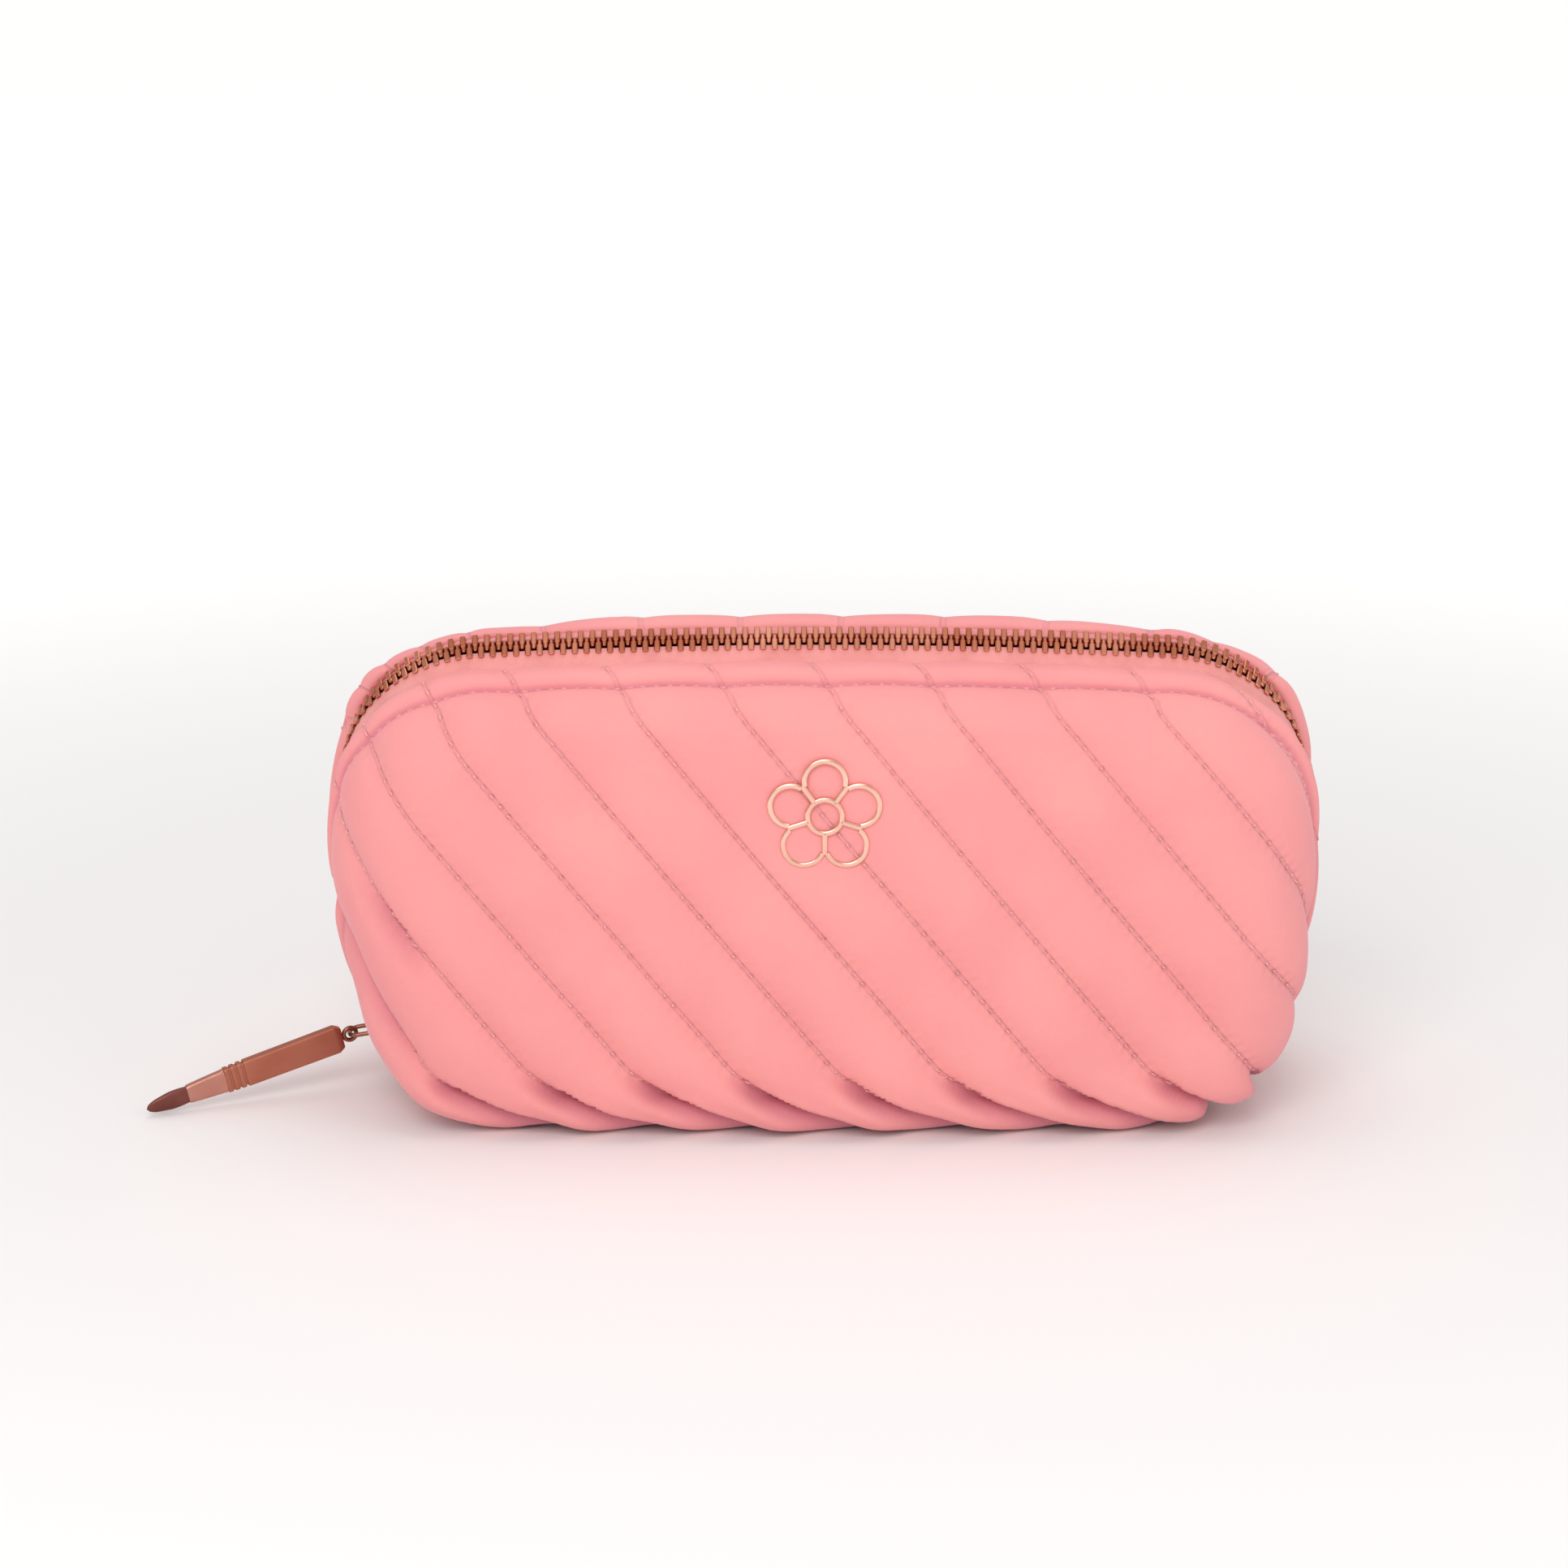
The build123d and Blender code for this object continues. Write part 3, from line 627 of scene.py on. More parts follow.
# ------------------------------------------------------------------ shape of the bag
@dataclass(frozen=True)
class Arc:
    """Part of a circle in an upright plane, turning from start to end."""

    centre: tuple[float, float]
    radius: float
    start: float
    end: float

    @property
    def length(self) -> float:
        """Run of the arc."""
        return self.radius * abs(self.start - self.end)

    def at(self, share: Array | float) -> tuple[Array, Array, Array]:
        """Place and angle at a share of the run.

        Args:
            share: 0 at the start and 1 at the end.

        Returns:
            Sideways place, height and the angle of the outward direction.
        """
        angle = self.start + (self.end - self.start) * share
        return (
            self.centre[0] + self.radius * np.cos(angle),
            self.centre[1] + self.radius * np.sin(angle),
            angle,
        )


@dataclass(frozen=True)
class BagForm:
    """Driving sizes of the bag in millimetres, and the curves worked out from them."""

    seam_foot_y: float = 2.0
    seam_lean: float = math.radians(9.0)
    half_width: float = 106.5
    seam_height: float = 107.5
    waist: float = 58.0
    foot_half: float = 88.0
    crown_radius: float = 1400.0
    corner: float = 33.0
    front_depth: float = 34.5
    back_depth: float = 38.0
    rim_offset: float = 4.8
    rim_rise: float = 1.0
    zip_turn: float = math.radians(41.0)
    foot_round: float = 9.0
    foot_corner: float = 17.0
    corner_rise: float = 3.0

    def half_arcs(self, half_width: float, height: float, foot_half: float, corner: float) -> list[Arc]:
        """Crown, corner and side of the right half of an outline, from the top centre down.

        Args:
            half_width: half width at the waist.
            height: height of the crown's middle.
            foot_half: half width at the floor.
            corner: radius of the upper corner.

        Returns:
            The three arcs; the last ends on the floor.
        """
        drop = half_width - foot_half
        side_radius = (drop**2 + self.waist**2) / (2 * drop)
        side = (half_width - side_radius, self.waist)
        crown = (0.0, height - self.crown_radius)
        reach_side = side_radius - corner
        reach_crown = self.crown_radius - corner
        gap = math.hypot(crown[0] - side[0], crown[1] - side[1])
        along = (reach_side**2 - reach_crown**2 + gap**2) / (2 * gap)
        across = math.sqrt(reach_side**2 - along**2)
        ux = (crown[0] - side[0]) / gap
        uy = (crown[1] - side[1]) / gap
        knuckle = max(
            (side[0] + along * ux - sign * across * uy, side[1] + along * uy + sign * across * ux)
            for sign in (-1, 1)
        )
        crown_end = math.atan2(knuckle[1] - crown[1], knuckle[0] - crown[0])
        side_start = math.atan2(knuckle[1] - side[1], knuckle[0] - side[0])
        side_end = -math.asin(self.waist / side_radius)
        return [
            Arc(crown, self.crown_radius, math.pi / 2, crown_end),
            Arc(knuckle, corner, crown_end, side_start),
            Arc(side, side_radius, side_start, side_end),
        ]

    def sections(self, side: Side) -> Array:
        """Outlines of a half from its rim to its flat face.

        Args:
            side: which half.

        Returns:
            One row for each outline: foot y, top y, top z, half width, foot, corner.
        """
        sign = side.value
        drop = self.rim_offset * math.tan(self.zip_turn)
        rise = self.rim_rise if side is Side.FRONT else self.rim_rise / 2
        rim_up = self.seam_height - sign * drop + rise
        rim_y = self.seam_foot_y - sign * self.rim_offset / math.cos(self.seam_lean)
        top_y = rim_y - rim_up * math.sin(self.seam_lean)
        top_z = rim_up * math.cos(self.seam_lean)
        wide = self.half_width
        foot = self.foot_half
        round_ = self.corner
        if side is Side.FRONT:
            depth = self.front_depth
            return np.array([
                (rim_y, top_y, top_z, wide, foot, round_),
                (-0.5 * depth, top_y - 3.72, top_z - 3.51, wide - 1.225, foot + 0.5, round_ + 1),
                (-0.83 * depth, top_y - 8.64, top_z - 7.02, wide - 6.475, foot - 1.0, round_ + 1),
                (-depth, top_y - 12.0, top_z - 13.0, wide - 17.5, foot - 7.0, round_ - 1),
            ])
        depth = self.back_depth
        return np.array([
            (rim_y, top_y, top_z, wide, foot, round_),
            (0.42 * depth, 0.01 * depth, top_z + 0.58, wide - 0.24, foot + 0.5, round_ + 2),
            (0.74 * depth, 0.47 * depth, top_z - 4.93, wide - 3.6, foot - 1.0, round_ + 5),
            (0.92 * depth, 0.79 * depth, top_z - 15.95, wide - 10.56, foot - 4.0, round_ + 4),
            (depth, 0.93 * depth, top_z - 29.0, wide - 24.0, foot - 10.0, round_),
        ])

    def arch(self, section: Array, counts: tuple[int, int, int]) -> tuple[Array, Array]:
        """Points along one outline, from its left foot over the top to its right foot.

        Args:
            section: one row of sections().
            counts: steps along the crown, the corner and the side of each half.

        Returns:
            Places (n, 3) and outward directions in the outline's own plane (n, 2).
        """
        foot_y, top_y, top_z, wide, foot, corner = section
        arcs = self.half_arcs(wide, math.hypot(top_y - foot_y, top_z), foot, corner)
        xs, vs, angles = [], [], []
        for arc, count in zip(arcs, counts):
            share = np.arange(count) / count
            if arc is arcs[-1]:
                share = np.linspace(0, 1, count + 1)
            x, v, angle = arc.at(share)
            xs.append(x)
            vs.append(v)
            angles.append(angle)
        x, v, angle = (np.concatenate(part) for part in (xs, vs, angles))
        x = np.concatenate([-x[:0:-1], x])
        v = np.concatenate([v[:0:-1], v])
        angle = np.concatenate([math.pi - angle[:0:-1], angle])
        up = np.array([top_y - foot_y, top_z]) / math.hypot(top_y - foot_y, top_z)
        places = np.stack([x, foot_y + v * up[0], v * up[1]], axis=-1)
        return places, np.stack([np.cos(angle), np.sin(angle)], axis=-1)

    def round_foot(self, points: Array, side: Side) -> Array:
        """Draw the lowest part in, towards a rounded rectangle on the floor.

        Args:
            points: places in millimetres, along the last axis.
            side: which half they belong to.

        Returns:
            The places with the foot rounded under.
        """
        depth = self.front_depth if side is Side.FRONT else self.back_depth
        reach = np.array([self.foot_half, depth]) - self.foot_round
        core = reach - self.foot_corner
        plan = points[..., :2]
        inner = np.stack([
            np.clip(plan[..., 0], -core[0], core[0]),
            np.clip(plan[..., 1], -core[1], core[1]),
        ], axis=-1)
        target = inner + unit(plan - inner) * self.foot_corner
        radius = self.foot_round + self.corner_rise * ease((np.abs(points[..., 0]) - 62.0) / 18.0)
        low = 1 - np.clip(points[..., 2] / radius, 0, 1)
        share = (1 - np.sqrt(np.maximum(1 - low**2, 0.0)))[..., None]
        rounded = points.copy()
        rounded[..., :2] = plan * (1 - share) + target * share
        return rounded

    def settle_back(self, points: Array) -> Array:
        """Lower the stuffed back behind the zip below its cut pattern, most at the shoulders."""
        wide = np.abs(points[..., 0])
        shoulder = ease((wide - 42.0) / 30.0) * ease((100.0 - wide) / 20.0)
        behind = (points[..., 1] - self.seam_foot_y) * math.cos(self.seam_lean)
        behind = behind + points[..., 2] * math.sin(self.seam_lean)
        settled = ease((points[..., 2] - 78.0) / 24.0) * ease((behind - 2.2) / 9.0)
        settled = settled * ease((110.0 - wide) / 22.0)
        lowered = points.copy()
        lowered[..., 2] -= settled * (3.8 + 2.7 * shoulder)
        return lowered

    def zip_arcs(self) -> list[Arc]:
        """Crown, corner and side of the right half of the zip line."""
        rise = self.rim_rise
        return self.half_arcs(
            self.half_width - rise, self.seam_height, self.foot_half - rise, self.corner - rise
        )

    def zip_distance(self, height: float) -> float:
        """Run along the zip line from the top centre to a height on its side."""
        crown, corner, side = self.zip_arcs()
        angle = math.asin((height - side.centre[1]) / side.radius)
        return crown.length + corner.length + side.radius * (side.start - angle)

    def zip_frame(self, distance: float) -> tuple[Array, Array]:
        """Place and axes at a signed distance along the zip line; left is negative.

        Args:
            distance: run from the top centre.

        Returns:
            The place, and as rows the ways to the front, outwards and along to the left end.
        """
        sign = -1.0 if distance < 0 else 1.0
        left = abs(distance)
        arcs = self.zip_arcs()
        for index, arc in enumerate(arcs):
            if left <= arc.length or index == 2:
                break
            left -= arc.length
        angle = arc.start - left / arc.radius
        x = arc.centre[0] + arc.radius * math.cos(angle)
        v = arc.centre[1] + arc.radius * math.sin(angle)
        share = (1.0, 1.0 - left / arc.length, 0.0)[index]
        turn = self.zip_turn * float(ease(share))
        lean = self.seam_lean
        up = np.array([0.0, -math.sin(lean), math.cos(lean)])
        forward = np.array([0.0, -math.cos(lean), -math.sin(lean)])
        outward = np.array([sign * math.cos(angle), 0.0, 0.0]) + up * math.sin(angle)
        point = np.array([sign * x, self.seam_foot_y, 0.0]) + up * v
        across = forward * math.cos(turn) - outward * math.sin(turn)
        normal = outward * math.cos(turn) + forward * math.sin(turn)
        return point, np.stack([across, normal, np.cross(across, normal)])


FORM = BagForm()


# ------------------------------------------------------------------ quilted halves
@dataclass
class QuiltedHalf:
    """One padded velvet half: rim roll, stitched groove, slanting channels and foot folds."""

    side: Side
    form: BagForm = FORM
    thickness: float = 4.0
    lining_gap: float = 0.15
    lining_thickness: float = 0.6
    lining_floor: float = 4.9
    channel: float = 17.0
    slant: float = math.radians(49.8)
    seam_x: float = 2.6
    seam_z: float = 97.0
    sight: float = 0.277
    puff: float = 1.9
    groove: float = 5.9
    fold_height: float = 16.0
    fold_sweep: float = 22.0
    fold_depth: float = 5.2
    badge_reach: float = 15.5
    stitch_pitch: float = 2.8
    stitch_length: float = 1.5
    counts: tuple[int, int, int] = (72, 42, 70)
    rim_rows: int = 34
    dome_rows: int = 22
    face_rows: int = 70
    base: Array = field(init=False)
    normals: Array = field(init=False)
    flat: Array = field(init=False)
    rim_run: Array = field(init=False)
    outer: Array = field(init=False)
    depth: Array = field(init=False)
    painted_shade: Array = field(init=False)
    seams: Array = field(init=False)

    def __post_init__(self) -> None:
        """Work out the plain form, then the quilted one."""
        self.lay_out()
        self.quilt()

    @property
    def rim_roll(self) -> float:
        """Height of the padded roll along the rim."""
        return 2.5 if self.side is Side.FRONT else 3.5

    @property
    def rim_lean(self) -> float:
        """How far the roll leans over the tape along the top."""
        return 0.5 if self.side is Side.FRONT else 2.1

    @property
    def edge_row(self) -> int:
        """Row of the grid where the dome meets the flat face."""
        return self.rim_rows + self.dome_rows

    # -------------------------------------------------- plain form
    def lay_out(self) -> None:
        """Fill the plain surface, its flat-cloth places and its run from the rim."""
        sections = self.form.sections(self.side)
        last = len(sections) - 1
        knots = np.linspace(0, 1, last + 1)
        curves = [np.polyfit(knots, sections[:, k], last) for k in range(sections.shape[1])]
        near = np.linspace(0, 0.45, self.rim_rows + 1)
        shares = np.concatenate([near, np.linspace(0.45, 1, self.dome_rows + 1)[1:]])
        rows = []
        for share in shares:
            section = np.array([np.polyval(curve, share) for curve in curves])
            places, outward = self.form.arch(section, self.counts)
            rows.append(places)
        dome = np.array(rows)
        edge = dome[-1]
        steps = np.linspace(0, 1, self.face_rows + 1)[1:, None]
        x = edge[None, :, 0] * (1 - steps)
        z = edge[None, :, 2] * (1 - 0.5 * steps)
        foot_y, top_y, top_z = sections[-1][:3]
        bulge = 1.6 * (1.0 - (1.0 - steps) ** 2)
        y = foot_y + (top_y - foot_y) * z / top_z - self.side.value * bulge
        surface = np.concatenate([dome, np.stack([x, y, z], axis=-1)])
        self.base = self.form.round_foot(surface, self.side)
        self.rim_run, self.flat = self.unroll(self.base, outward)
        if self.side is Side.BACK:
            self.base = self.form.settle_back(self.base)
        self.normals = self.find_normals(self.base)

    def find_normals(self, surface: Array) -> Array:
        """Outward directions of a grid surface."""
        normals = unit(np.cross(np.gradient(surface, axis=0), np.gradient(surface, axis=1)))
        towards = np.array([0.0, -self.side.value, 0.0])
        middle = normals[-10, normals.shape[1] // 4]
        return normals if middle @ towards > 0 else -normals

    def unroll(self, surface: Array, outward: Array) -> tuple[Array, Array]:
        """Run from the rim, and place on the cloth's pattern, of each point.

        Args:
            surface: the plain grid.
            outward: directions of the face's edge in its own plane.

        Returns:
            Runs (rows, columns) and places (rows, columns, 2), in millimetres.
        """
        steps = np.linalg.norm(np.diff(surface, axis=0), axis=-1)
        run = np.concatenate([np.zeros((1, steps.shape[1])), np.cumsum(steps, axis=0)])
        edge = self.edge_row
        beyond = run[edge][None] - run[:edge]
        shift = surface[:edge][..., [0, 2]] - surface[edge][:, [0, 2]]
        extra = np.clip(beyond - (shift * outward).sum(axis=-1), 0, None)
        flat = surface[..., [0, 2]].copy()
        flat[:edge, :, 0] += outward[:, 0] * extra
        flat[..., 1] += self.sight * np.abs(surface[..., 1] - surface[-1, 0, 1])
        return run, flat

    # -------------------------------------------------- quilting
    def quilt_place(self, flat: Array, height: Array) -> Array:
        """Millimetres across the channels, from one seam, and along them.

        Args:
            flat: places on the cloth's pattern.
            height: height above the floor, which sweeps the folds sideways.

        Returns:
            The two runs, as the last axis.
        """
        low = np.clip((self.fold_height - height) / self.fold_height, 0, 1)
        x = flat[..., 0] - self.seam_x - self.fold_sweep * low**1.6
        z = flat[..., 1] - self.seam_z
        across = x * math.sin(self.slant) + z * math.cos(self.slant)
        along = x * math.cos(self.slant) - z * math.sin(self.slant)
        return np.stack([across, along], axis=-1)

    def quilt(self) -> None:
        """Raise the channels and the rim roll, and sink seams, groove and folds."""
        height = self.base[..., 2]
        self.seams = self.quilt_place(self.flat, height)
        count = self.seams[..., 0] / self.channel
        part = count - np.floor(count)
        edge_share = np.abs(2 * part - 1)
        run = self.rim_run
        in_rim = run < self.groove
        past = np.clip(run - self.groove, 0, None)
        grown = 1 - np.exp(-past / 3.5)
        low = 1 - np.clip(height / 55.0, 0, 1)
        puff = self.puff * (1.0 + 0.75 * low) * np.where(in_rim, 0.35, 0.3 + 0.7 * grown)
        sharp = 2.5 - 0.3 * low
        pillow = 0.25 - edge_share**sharp
        drape = self.wander(self.flat) * (0.2 + 0.6 * low) * np.where(in_rim, 0.5, 1.0)
        share = np.clip(run / self.groove, 0, 1)
        roll = self.rim_roll * np.sin(math.pi * share) ** 0.6
        level = np.where(in_rim, -2.3 + 1.0 * share, -1.3 * np.exp(-past / 1.5))
        below = (1 - part) * self.channel
        reach = np.clip((self.fold_height - height) / self.fold_height, 0, 1)
        recess = self.fold_depth * ease(reach * 1.9) * ease(1.5 * (1 - below / (1.5 + 13.0 * reach)))
        recess = recess + self.side_fold(below)
        lip = 1.8 * ease(reach * 1.5) * ease(1 - part * self.channel / 6.0)
        calm = self.badge_calm()
        rise = (puff * pillow + drape) * (1 - 0.75 * calm) - 0.45 * calm
        rise = rise + roll + level - recess + lip
        sag = np.exp(-(((height - 26.0) / 17.0) ** 2)) * ease((run - 6.0) / 14.0)
        rise = rise + 3.6 * ease((self.base[..., 0] - 72.0) / 18.0) * sag
        rise = rise * ease((height + 0.9) / 4.5)
        lean = self.rim_lean * (1 - share) * self.top_share()
        towards = unit(self.base[0] - self.base[1])
        self.depth = np.maximum(self.thickness, 0.8 - rise)
        self.outer = self.base + self.normals * rise[..., None] + towards * lean[..., None]
        self.outer[..., 2] = np.maximum(self.outer[..., 2], 0.15)
        self.weld_middle(self.outer)
        # Painted shade values, read by the velvet: darker in the groove, at the rim's edge, in the fold
        # pockets, and towards the sides and the foot.
        ditch = 0.9 * np.exp(-(((run - self.groove) / 0.55) ** 2))
        tuck = 0.5 * np.exp(-run / 0.7)
        pocket = ease(1.4 * recess / self.fold_depth)
        painted_side_and_foot_shade = 0.16 * ease((np.abs(self.base[..., 0]) - 76.0) / 24.0) + 0.12 * ease(1 - height / 15.0) ** 2
        self.painted_shade = np.clip(ditch + tuck + 1.25 * pocket + painted_side_and_foot_shade, 0, 1.5)

    def top_share(self) -> Array:
        """1 for columns on the crown, falling to 0 through the corners to the sides."""
        crown, corner, side = self.counts
        half = np.concatenate([np.ones(crown), 1 - ease(np.arange(corner) / corner), np.zeros(side + 1)])
        return np.concatenate([half[:0:-1], half])[None]

    def side_fold(self, below: Array) -> Array:
        """Deeper fold under the seam that runs down the left side of the front."""
        if self.side is Side.BACK:
            return np.zeros_like(below)
        left = ease((-80.0 - self.base[..., 0]) / 12.0)
        level = ease((62.0 - self.base[..., 2]) / 14.0) * ease((self.base[..., 2] - 12.0) / 14.0)
        return 2.2 * left * level * ease(1 - below / 7.0)

    def badge_calm(self) -> Array:
        """1 under the badge, which lies on cloth pressed nearly flat, falling to 0 round it."""
        if self.side is Side.BACK:
            return np.zeros(self.base.shape[:2])
        distance = np.hypot(self.base[..., 0], self.base[..., 2] - 72.0)
        return ease(1.25 * (1.45 - distance / self.badge_reach))

    def weld_middle(self, surface: Array) -> None:
        """Give both halves of the middle line the same places."""
        surface[-1] = 0.5 * (surface[-1] + surface[-1, ::-1])

    def wander(self, flat: Array) -> Array:
        """Slow uneven swell of stuffed cloth, as a sum of a few waves."""
        x, z = flat[..., 0], flat[..., 1]
        waves = [
            (0.11, 0.05, 0.4),
            (0.05, -0.13, 1.7),
            (-0.21, 0.09, 2.9),
            (0.17, 0.23, 0.8),
            (0.31, -0.12, 4.1),
        ]
        total = np.zeros_like(x)
        for kx, kz, start in waves:
            total += np.sin(kx * x + kz * z + start + 0.7 * self.side.value)
        return 0.3 * total

    # -------------------------------------------------- pieces
    def build(self) -> None:
        """Make the cover, its lining and its stitching."""
        self.build_cover()
        self.build_lining()
        self.build_stitches()

    def hang(self, piece: bpy.types.Object) -> None:
        """Attach a piece to this half's body; a front piece stays unattached, its place baked into its mesh.
        """
        hang_on(piece, self.side)

    def build_cover(self) -> None:
        """Make the closed padded shell of this half."""
        inner = self.base - self.normals * self.depth[..., None]
        inner[..., 2] = np.maximum(inner[..., 2], 0.15)
        cover = self.shell(f"{self.side.label}_cover_quilted", self.outer, inner)
        VELVET.dress(cover)
        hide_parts(f"{self.side.label}_cover", f"{self.side.label}_wadding")
        self.hang(cover)

    def build_lining(self) -> None:
        """Make the inner cloth, a thin shell inside the cover."""
        depth = self.depth[..., None] + self.lining_gap
        outer = self.base - self.normals * depth
        inner = self.base - self.normals * (depth + self.lining_thickness)
        for layer in (outer, inner):
            layer[..., 2] = np.maximum(layer[..., 2], self.lining_floor)
        lining = self.shell(f"{self.side.label}_lining_cloth", outer, inner)
        LINING_CLOTH.dress(lining)
        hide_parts(f"{self.side.label}_lining")
        self.hang(lining)

    def shell(self, name: str, outer: Array, inner: Array) -> bpy.types.Object:
        """Closed shell between two grid surfaces, with its painted shade values and cloth map.

        Args:
            name: the piece's name.
            outer: outer surface in millimetres.
            inner: inner surface in millimetres.

        Returns:
            The welded piece.
        """
        self.weld_middle(outer)
        self.weld_middle(inner)
        points = np.concatenate([inner[::-1], outer]) * MM
        piece = grid_piece(name, points)
        row, column = grid_rows(piece, *points.shape[:2])
        painted_shade = np.concatenate([np.zeros_like(self.painted_shade), self.painted_shade])
        seams = np.concatenate([self.seams[::-1], self.seams])
        add_point_value(piece, "painted_shade", painted_shade[row, column])
        add_pattern_map(piece, seams[row, column] * MM)
        self.close_foot(piece, *points.shape[:2])
        mend(piece, 2e-6)
        smooth(piece)
        return piece

    def close_foot(self, piece: bpy.types.Object, rows: int, columns: int) -> None:
        """Join the outer skin to the inner one along the foot, at both ends of every arch."""
        row, column = grid_rows(piece, rows, columns)
        lookup = np.empty((rows, columns), int)
        lookup[row, column] = np.arange(len(column))
        half = rows // 2
        work = bmesh.new()
        work.from_mesh(piece.data)
        work.verts.ensure_lookup_table()
        for end in (0, columns - 1):
            for step in range(half - 1):
                ring = (half - 1 - step, half + step, half + step + 1, half - 2 - step)
                work.faces.new([work.verts[lookup[i, end]] for i in ring])
        work.to_mesh(piece.data)
        work.free()
        piece.data.update()

    def build_stitches(self) -> None:
        """Lay short thread stitches along every seam and along the groove."""
        finder = self.seam_finder()
        frames = []
        low, high = self.seams[..., 0].min(), self.seams[..., 0].max()
        for number in range(math.ceil(low / self.channel), math.floor(high / self.channel) + 1):
            start, end = self.seams[..., 1].min(), self.seams[..., 1].max()
            for along in np.arange(start, end, self.stitch_pitch):
                place = finder(number * self.channel, along)
                ahead = finder(number * self.channel, along + 0.5 * self.stitch_length)
                if place is None or ahead is None:
                    continue
                stretch = np.linalg.norm(ahead[0] - place[0]) / (0.5 * self.stitch_length * MM)
                if 0.6 < stretch < 1.7:
                    frames.append(self.stitch_frame(place, ahead))
        frames.extend(self.groove_frames())
        template = self.stitch_template()
        thread = repeat_piece(f"{self.side.label}_quilt_stitches", template, frames)
        smooth(thread)
        STITCH_THREAD.dress(thread)
        self.hang(thread)

    def stitch_frame(self, place: tuple[Array, Array], ahead: tuple[Array, Array]) -> tuple[Array, Array]:
        """Origin and axes of one stitch lying along a seam."""
        point, normal = place
        run = unit(ahead[0] - point)
        across = unit(np.cross(normal, run))
        return point + 0.1 * MM * normal, np.stack([run, across, np.cross(run, across)])

    def stitch_template(self) -> bpy.types.Object:
        """One thread stitch, pointing along X."""
        select_nothing()
        bpy.ops.mesh.primitive_uv_sphere_add(
            segments=6, ring_count=4, radius=1.0, rotation=(0, math.pi / 2, 0)
        )
        stitch = newest("stitch_template")
        settle(stitch)
        size = np.array([0.5 * self.stitch_length, 0.27, 0.27]) * MM
        set_points(stitch.data, get_points(stitch.data) * size)
        return stitch

    def seam_finder(self) -> Callable[[float, float], tuple[Array, Array] | None]:
        """Function from a place on the quilt pattern to the cover's surface and its normal."""
        first = np.searchsorted(self.rim_run.max(axis=1), 0.6)
        seams, outer = self.seams[first:], self.outer[first:] * MM
        rows, columns = seams.shape[:2]
        flat = np.concatenate([seams, np.zeros((rows, columns, 1))], axis=-1).reshape(-1, 3)
        solid = outer.reshape(-1, 3)
        corner = np.arange((rows - 1) * columns).reshape(rows - 1, columns)[:, :-1].ravel()
        quads = np.stack([corner, corner + columns, corner + columns + 1, corner + 1], axis=1)
        triangles = np.concatenate([quads[:, [0, 1, 2]], quads[:, [0, 2, 3]]])
        tree = BVHTree.FromPolygons(flat.tolist(), triangles.tolist(), all_triangles=True)
        towards = self.normals[first:].reshape(-1, 3)

        def find(across: float, along: float) -> tuple[Array, Array] | None:
            """Surface point and normal at a pattern place, or nothing off the cloth."""
            hit, _, index, _ = tree.find_nearest((across, along, 0.0), 0.2)
            if hit is None:
                return None
            a, b, c = triangles[index]
            edges = np.stack([flat[b] - flat[a], flat[c] - flat[a]], axis=1)[:2]
            determinant = np.linalg.det(edges)
            if abs(determinant) < 1e-9:
                return None
            u, v = np.linalg.solve(edges, np.array(hit)[:2] - flat[a][:2])
            point = solid[a] + u * (solid[b] - solid[a]) + v * (solid[c] - solid[a])
            return point, unit(towards[a])

        return find

    def groove_frames(self) -> list[tuple[Array, Array]]:
        """Places of the stitches along the groove below the rim roll."""
        columns = self.rim_run.shape[1]
        row = np.array([np.searchsorted(self.rim_run[:, j], self.groove) for j in range(columns)])
        index = np.arange(columns)
        line = self.outer[row, index] * MM
        normals = self.normals[row, index]
        run = run_of(line) / MM
        frames = []
        for distance in np.arange(1.0, run[-1] - 1.0, self.stitch_pitch):
            ends = [distance, distance + 0.5 * self.stitch_length]
            at = [np.array([np.interp(d, run, line[:, k]) for k in range(3)]) for d in ends]
            normal = unit(np.array([np.interp(distance, run, normals[:, k]) for k in range(3)]))
            if at[0][2] > 4.0 * MM:
                frames.append(self.stitch_frame((at[0], normal), (at[1], normal)))
        return frames


def hang_on(piece: bpy.types.Object, side: Side) -> None:
    """Attach a soft piece to its half's body; a front piece stays unattached, its place baked into its mesh.
    """
    if side is Side.FRONT:
        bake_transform(piece)
    else:
        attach(piece, side.body)


